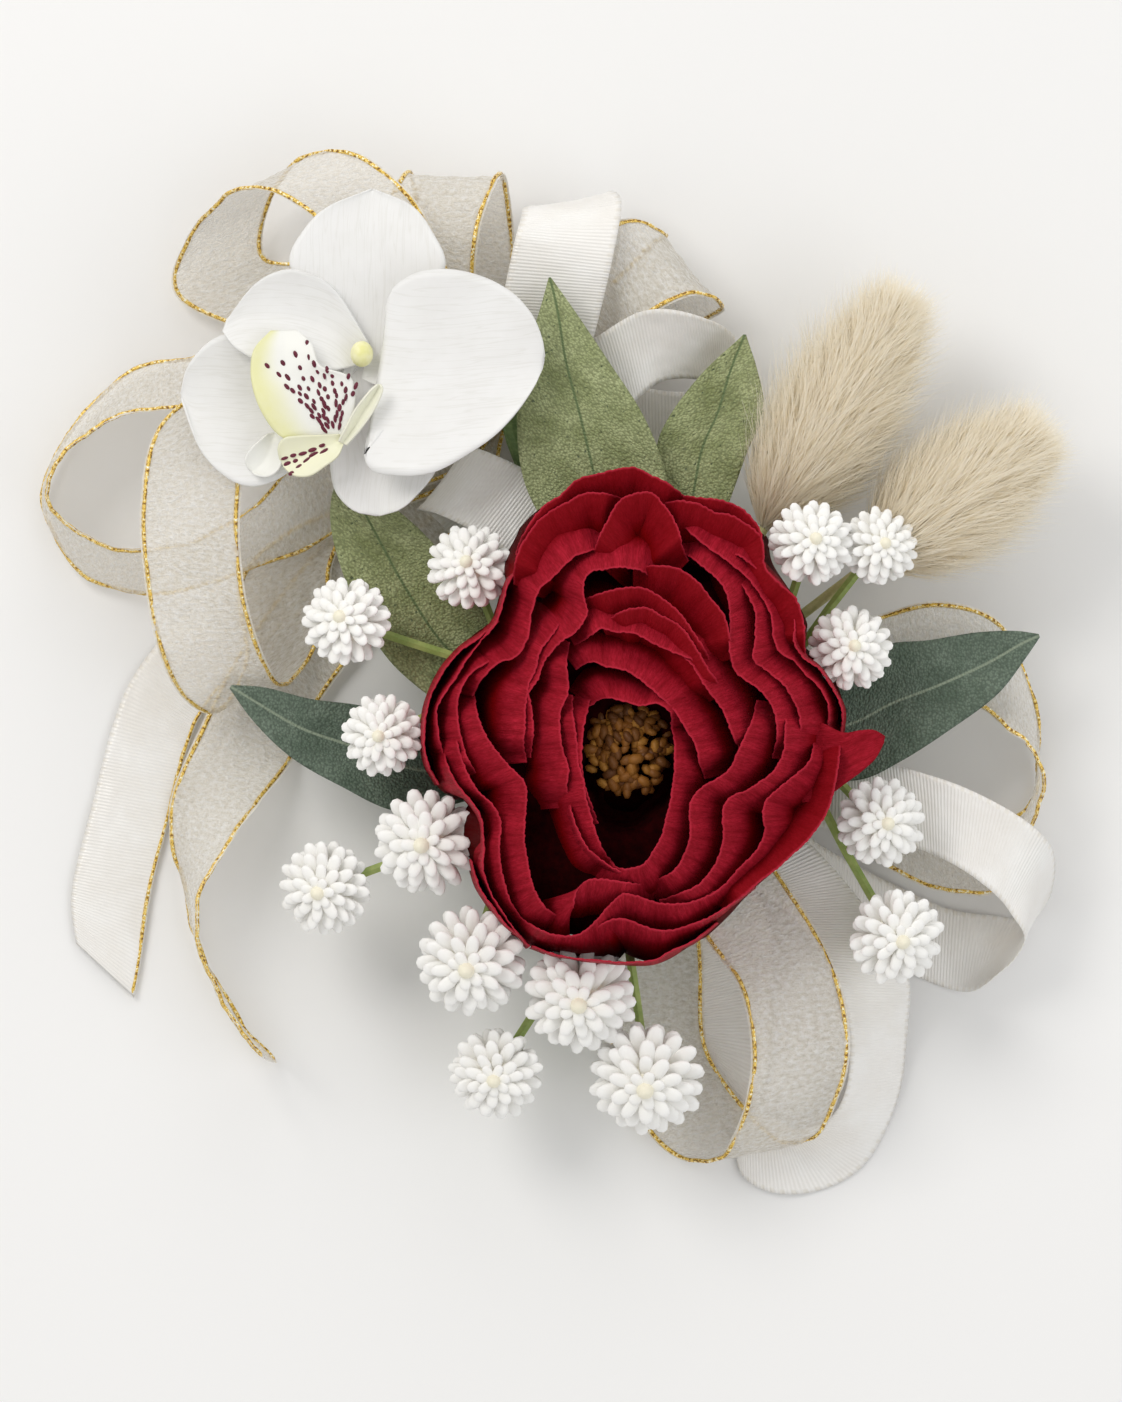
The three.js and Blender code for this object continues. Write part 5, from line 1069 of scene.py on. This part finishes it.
def floret_heads():
    """The spray flowers: rings of plump rounded petals about a button."""
    rng = np.random.default_rng(settings().seed + 4)
    paint = floret_paint()
    bend = np.linspace(0, math.pi, 8)
    swell = np.sin(bend) ** 0.8 * (0.92 - 0.2 * np.cos(bend))  # a petal is broadest near its tip
    turn = np.linspace(0, 2 * math.pi, 9, endpoint=False)
    for number, (across, up, radius, level) in enumerate(HEADS, 1):
        x, y = place_of(across, up)
        middle, size = np.array(at(x, y, level_of(level))), radius * SPREAD * MM * HEAD_SCALE
        lean = np.array([x - TABLE_HUB[0], TABLE_HUB[1] - y]) * HEAD_LEAN
        axis = unit(np.array([*lean, 1]) + rng.normal(0, 0.05, 3))
        side = unit(np.cross(axis, [0, 1, 0.2]))
        front = np.cross(axis, side)
        cloth = Cloth()
        for petals, reach, rise, long, plump in FLORET_RINGS:
            start = rng.uniform(0, 6.3)
            for k in range(petals):
                spin = start + 2 * math.pi * k / petals + rng.normal(0, 0.06)
                out = math.cos(spin) * side + math.sin(spin) * front
                way = unit(out + axis * (0.18 * rise + rng.normal(0, 0.06)))
                wide = np.cross(axis, out)
                lift = np.cross(way, wide)
                half = size * long * rng.uniform(0.9, 1.1)
                broad = size * plump * rng.uniform(0.9, 1.08)
                centre = middle + size * (out * reach + axis * (rise + rng.normal(0, 0.02)))
                girth = circle(turn, wide * broad, lift * broad * FLORET_THICKNESS)
                points = centre - np.cos(bend)[None, :, None] * way * half + swell[None, :, None] * girth
                places = np.stack(np.broadcast_arrays(turn[:, None], (1 - np.cos(bend))[None] / 2), -1)
                cloth.grid(points, places, 0.0, closed=True)
        tall, swelled = np.cos(bend)[None, :, None] * axis, np.sin(bend)[None, :, None] * circle(turn, side, front)
        button = middle + axis * size * 0.68
        cloth.grid(button + size * 0.16 * (tall + swelled), (0.5, 0.5), 1.0, closed=True)
        cloth.grid(middle + size * (0.62 * tall + 0.58 * swelled), (0.5, 0.2), 0.4, closed=True)
        name = f"flower_head_{number:02d}"
        piece = cloth.build(name + "_florets", paint)
        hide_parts(name)
        calyx = Cloth()
        rows = []
        spin = np.linspace(0, 2 * math.pi, 30, endpoint=False)
        for t, wide, drop in CALYX_RINGS:
            ruff = wide * (1 + 0.25 * t * np.cos(5 * spin))
            rows.append(middle - axis * size * drop * 0.86 + size * ruff[:, None] * circle(spin, side, front)[:, 0])
        calyx.grid(np.array(rows).transpose(1, 0, 2), (0, 0), closed=True)
        green = plain_paint("calyx_green", (0.24, 0.36, 0.08), (0.36, 0.48, 0.14), 0.6)
        cup = calyx.build(name + "_calyx", green, 0.2 * MM)


PLUMES = {  # azimuth in degrees, start and end from the hub in millimetres
    "grass_tail_upper": (58.6, 38, 79.5),
    "grass_tail_lower": (37.4, 45, 77.5),
}
PLUME_LEVEL = 15.9  # height of the cane stems at the hub, in millimetres
PLUME_RISE = 0.06  # how steeply they rise outwards
PLUME_RADIUS = 9.6
HAIR_HALF_WIDTH = 0.085
HAIR_POINTS = 5  # along each hair


def plume_girth(t):
    """Radius of a plume's core along its length, as a share of the widest."""
    return np.sin(np.clip(t, 0, 1) ** 0.72 * math.pi) ** 0.7 * (1 - 0.28 * np.clip(t, 0, 1))


def plumes():
    """Two grass tails: a cane stem, a core, and long fine hairs that lie towards the tip."""
    rng = np.random.default_rng(settings().seed + 5)
    paint = plume_paint()
    hairs = settings().plume_hairs
    for name, (azimuth, start, end) in PLUMES.items():
        angle = math.radians(azimuth)
        way = unit(np.array([math.cos(angle), math.sin(angle), PLUME_RISE]))
        side = unit(np.array([-way[1], way[0], 0]))
        up = np.cross(way, side)
        foot = np.array([*HUB, PLUME_LEVEL * MM])
        turn = np.linspace(0, 2 * math.pi, 24, endpoint=False)
        t = np.linspace(0.0, 1.0, 24)
        core = Cloth()
        size = np.maximum(plume_girth(t) * PLUME_RADIUS * 0.6, 0.02) * MM
        along = (start + (end - start) * 0.96 * t) * MM
        rows = foot + way * along[None, :, None] + size[None, :, None] * circle(turn, side, up)
        core.grid(rows, (0, 0), 0.12, closed=True)
        root = rng.uniform(0, 1, hairs) ** 0.85 * 0.97
        spin = rng.uniform(0, 2 * math.pi, hairs)
        out = circle(spin, side, up)[:, 0]
        along = (start + (end - start) * 0.95 * root) * MM
        skin = plume_girth(root) * PLUME_RADIUS * 0.58 * MM
        from_core = foot + way * along[:, None] + out * skin[:, None]
        long = rng.uniform(5.5, 11.5, hairs) * (0.55 + 0.45 * plume_girth(root)) * MM
        rise = rng.uniform(0.3, 1.35, hairs)
        curl = rng.normal(0, 0.12, (hairs, 3))
        t = np.linspace(0, 1, HAIR_POINTS)
        ahead = (long[:, None] * t)[..., None] * way * 0.86
        outward = ((long * rise)[:, None] * (t - 0.35 * t**2))[..., None] * out[:, None]
        line = from_core[:, None] + ahead + outward + (long[:, None] * t**2)[..., None] * curl[:, None]
        flat = unit(np.cross(out, way) + rng.normal(0, 0.3, (hairs, 3)))
        wide = (HAIR_HALF_WIDTH * MM * (1 - 0.85 * t))[None, :, None] * flat[:, None]
        core.strips(np.stack([line - wide, line + wide], 2), (0.35 + 0.65 * t)[None, :, None])
        piece = core.build(name + "_plume", paint)
        stem = Cloth()
        route = [foot + way * far * MM for far in (BARREL_RADIUS, start + 2, end - 8)]
        tubes(stem, spline(route, 24), 0.75 * MM, 10)
        cane = stem.build(name + "_stem", plain_paint("cane", (0.42, 0.40, 0.16), (0.58, 0.52, 0.26), 0.55))
        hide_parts(name)
STAMENS = 150
STAMEN_SPREAD = (42, 46)  # reach of the bundle across and along the cup, in table steps
STAMEN_TOP = 34.5


def stamens():
    """The bundle of brown and amber grains at the bottom of the flower's cup."""
    rng = np.random.default_rng(settings().seed + 6)
    cloth = Cloth()
    bend, turn = np.linspace(0, math.pi, 6), np.linspace(0, 2 * math.pi, 7, endpoint=False)
    for _ in range(STAMENS):
        far, spin = math.sqrt(rng.uniform(0, 1)), rng.uniform(0, 2 * math.pi)
        x = CUP[0] + STAMEN_SPREAD[0] * far * math.cos(spin)
        y = CUP[1] - 24 + STAMEN_SPREAD[1] * far * math.sin(spin)
        top = STAMEN_TOP - 2.5 * far**2 + rng.normal(0, 0.5)
        size = rng.uniform(0.75, 1.15) * MM
        yaw = rng.uniform(0, math.pi)
        long = 1.25 * np.array([math.cos(yaw), math.sin(yaw), 0])
        wide = 0.8 * np.array([-math.sin(yaw), math.cos(yaw), 0])
        tall = np.cos(bend)[None, :, None] * [0, 0, 1]
        grain = tall + np.sin(bend)[None, :, None] * circle(turn, long, wide)
        cloth.grid(np.array(at(x, y, top)) + size * grain, (0, 0), rng.uniform(0, 1), closed=True)
        route = []
        for share, z in ((1, top), (0.6, 31.0), (0.4, 29.2)):  # the thread runs in towards the cup's middle
            route.append(at(CUP[0] * (1 - share) + x * share, CUP[1] * (1 - share) + y * share, z))
        tubes(cloth, np.array(route), 0.13 * MM, 4)
    p = Paint("amber_floss")
    color = p.ramp(p.shade(), (0.0, (0.12, 0.040, 0.006)), (0.6, (0.28, 0.105, 0.012)), (1.0, (0.46, 0.21, 0.03)))
    p.set(Base_Color=color, Roughness=0.6)
    piece = cloth.build("stamens", p.material)
    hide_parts("stamen_cluster")


def felt_pad():
    """The felt pad behind the pin, with a soft rounded edge."""
    (xl, yl, zl), (xh, yh, zh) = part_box("felt_backing")
    select_none()
    bpy.ops.mesh.primitive_cylinder_add(vertices=96, radius=(xh - xl) / 2, depth=zh - zl, location=(0, 0, 0))
    pad = bpy.context.object
    pad.name = "felt_pad"
    bpy.ops.object.mode_set(mode="EDIT")
    bpy.ops.mesh.select_all(action="SELECT")
    bpy.ops.mesh.bevel(offset=0.35 * MM, segments=3, affect="EDGES")
    bpy.ops.transform.translate(value=((xl + xh) / 2, (yl + yh) / 2, (zl + zh) / 2))
    bpy.ops.object.mode_set(mode="OBJECT")
    bpy.ops.object.shade_smooth_by_angle(angle=math.radians(50))
    wool = plain_paint("felt", (0.80, 0.77, 0.70), (0.92, 0.90, 0.85), 0.95, 2.5, 0.8, Sheen_Weight=0.4)
    pad.data.materials.append(wool)
    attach(pad, "root")
    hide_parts("felt_backing")


def dress(nodes, paint):
    """Gives solids of the frame their material."""
    for name in nodes:
        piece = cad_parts[name]
        piece.data.materials.clear()
        piece.data.materials.append(paint)


def hardware():
    """The pin's metal, the stem tape and the spray stems keep their solids and get their finishes."""
    steel = plain_paint("pin_steel", (0.60, 0.61, 0.63), (0.74, 0.75, 0.77), 0.28, 1.5, 0.05, 1.0)
    dress(("bar_plate", "hinge_rivet", "pin_needle", "catch_sleeve"), steel)
    # The receptacle gets the heart's near-black painted shadow, so it reads as shade in the cup.
    dress(("receptacle",), bpy.data.materials["painted_shadow_heart"])
    tape = plain_paint("stem_tape", (0.10, 0.17, 0.06), (0.19, 0.27, 0.10), 0.7, 1.2, 0.6)
    dress(("stem_binding", "orchid_spine"), tape)
    green = plain_paint("spray_green", (0.26, 0.36, 0.09), (0.42, 0.50, 0.16), 0.55, 0.5, 0.2)
    dress(("left_spray", "lower_left_spray", "lower_spray", "right_spray"), green)
FLOOR_SIZE = 6
LAMPS = (  # name, place, size, power and colour
    ("key", (-0.55, 0.55, 0.85), 0.5, 4.6, (1.0, 0.975, 0.94)),
    ("fill", (0.75, -0.25, 0.8), 0.9, 2.4, (0.93, 0.96, 1.0)),
    ("back", (0.15, 0.95, 0.5), 0.6, 1.4, (1.0, 1.0, 1.0)),
)
LAMP_AIM = (0, 0, 0.02)
SKY_COLOR, SKY_STRENGTH = (1, 0.99, 0.97, 1), 0.64
CAMERA_PLACE, CAMERA_LENS = (561, 701, 1500), 253.4  # straight above the middle of the photograph


def stage():
    """A pale floor, soft light from the upper left and the camera straight above."""
    select_none()
    bpy.ops.mesh.primitive_plane_add(size=FLOOR_SIZE, location=(0, 0, 0))
    floor = bpy.context.object
    floor.name = "floor"
    p = Paint("floor_pale")
    cloud = p.noise(p.places((1, 1, 1), "Object"), 2.0, 2.0)
    p.set(Base_Color=p.ramp(cloud, (0.3, (0.875, 0.873, 0.87)), (0.7, (0.89, 0.888, 0.885))), Roughness=0.9)
    floor.data.materials.append(p.material)
    for name, place, size, power, color in LAMPS:
        data = bpy.data.lights.new(name, "AREA")
        data.size, data.energy, data.color = size, power, color
        lamp = bpy.data.objects.new(name, data)
        lamp.location = place
        lamp.rotation_euler = (Vector(LAMP_AIM) - Vector(place)).to_track_quat("-Z", "Y").to_euler()
        bpy.context.scene.collection.objects.link(lamp)
    bpy.context.scene.view_settings.view_transform = "Standard"
    world = bpy.context.scene.world or bpy.data.worlds.new("world")
    bpy.context.scene.world = world
    world.use_nodes = True
    sky = world.node_tree.nodes["Background"]
    sky.inputs["Color"].default_value = SKY_COLOR
    sky.inputs["Strength"].default_value = SKY_STRENGTH
    data = bpy.data.cameras.new("camera")
    data.lens, data.sensor_width, data.clip_start = CAMERA_LENS, 36, 0.05
    camera = bpy.data.objects.new("camera", data)
    camera.location = at(*CAMERA_PLACE)
    bpy.context.scene.collection.objects.link(camera)
    bpy.context.scene.camera = camera


class CorsageSettings(bpy.types.PropertyGroup):
    """What can be changed before the pieces are built."""

    seed: bpy.props.IntProperty(name="Seed", description="Picks the ripples of cloth and hair", default=7)
    petal_ruffle: bpy.props.FloatProperty(
        name="Petal ruffle", description="How ragged the wine petals' rims are", default=1.0
    )
    ribbon_crinkle: bpy.props.FloatProperty(
        name="Ribbon crinkle", description="How crumpled the sheer ribbon is", default=1.0
    )
    thread_width: bpy.props.FloatProperty(
        name="Thread width", description="Width of the gold edge threads, in millimetres", default=0.66
    )
    plume_hairs: bpy.props.IntProperty(name="Plume hairs", description="Hairs on each plume", default=21000)


class CORSAGE_OT_flower(bpy.types.Operator):
    """Builds the wine flower's petals and stamens"""

    bl_idname, bl_label = "corsage.flower", "Wine flower"

    def execute(self, context):
        flower()
        stamens()
        return {"FINISHED"}


class CORSAGE_OT_orchid(bpy.types.Operator):
    """Builds the orchid"""

    bl_idname, bl_label = "corsage.orchid", "Orchid"

    def execute(self, context):
        orchid()
        return {"FINISHED"}


class CORSAGE_OT_ribbons(bpy.types.Operator):
    """Builds the sheer and satin ribbons"""

    bl_idname, bl_label = "corsage.ribbons", "Ribbons"

    def execute(self, context):
        ribbons()
        return {"FINISHED"}


class CORSAGE_OT_leaves(bpy.types.Operator):
    """Builds the cloth leaves"""

    bl_idname, bl_label = "corsage.leaves", "Leaves"

    def execute(self, context):
        leaves()
        return {"FINISHED"}


class CORSAGE_OT_sprays(bpy.types.Operator):
    """Builds the spray flowers"""

    bl_idname, bl_label = "corsage.sprays", "Spray flowers"

    def execute(self, context):
        floret_heads()
        return {"FINISHED"}


class CORSAGE_OT_plumes(bpy.types.Operator):
    """Builds the two plumes"""

    bl_idname, bl_label = "corsage.plumes", "Plumes"

    def execute(self, context):
        plumes()
        return {"FINISHED"}


class CORSAGE_OT_hardware(bpy.types.Operator):
    """Gives the pin, tape, stems and felt their finishes"""

    bl_idname, bl_label = "corsage.hardware", "Pin and stems"

    def execute(self, context):
        hardware()
        felt_pad()
        return {"FINISHED"}


class CORSAGE_OT_stage(bpy.types.Operator):
    """Sets the floor, lights and camera"""

    bl_idname, bl_label = "corsage.stage", "Stage"

    def execute(self, context):
        stage()
        return {"FINISHED"}


OPERATORS = (
    CORSAGE_OT_flower, CORSAGE_OT_orchid, CORSAGE_OT_ribbons, CORSAGE_OT_leaves,
    CORSAGE_OT_sprays, CORSAGE_OT_plumes, CORSAGE_OT_hardware, CORSAGE_OT_stage,
)


class CORSAGE_PT_panel(bpy.types.Panel):
    """Corsage pieces and settings"""

    bl_idname, bl_label = "CORSAGE_PT_panel", "Corsage"
    bl_space_type, bl_region_type, bl_category = "VIEW_3D", "UI", "Corsage"

    def draw(self, context):
        for name in CorsageSettings.__annotations__:
            self.layout.prop(context.scene.corsage, name)
        for operator in OPERATORS:
            self.layout.operator(operator.bl_idname)


def register():
    for kind in (CorsageSettings, *OPERATORS, CORSAGE_PT_panel):
        bpy.utils.register_class(kind)
    bpy.types.Scene.corsage = bpy.props.PointerProperty(type=CorsageSettings)


def unregister():
    del bpy.types.Scene.corsage
    for kind in reversed((CorsageSettings, *OPERATORS, CORSAGE_PT_panel)):
        bpy.utils.unregister_class(kind)


def main():
    register()
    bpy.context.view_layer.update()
    bpy.ops.corsage.flower()
    bpy.ops.corsage.orchid()
    bpy.ops.corsage.ribbons()
    bpy.ops.corsage.leaves()
    bpy.ops.corsage.sprays()
    bpy.ops.corsage.plumes()
    bpy.ops.corsage.hardware()
    bpy.ops.corsage.stage()
    bpy.context.view_layer.update()


if __name__ == "__main__":
    main()
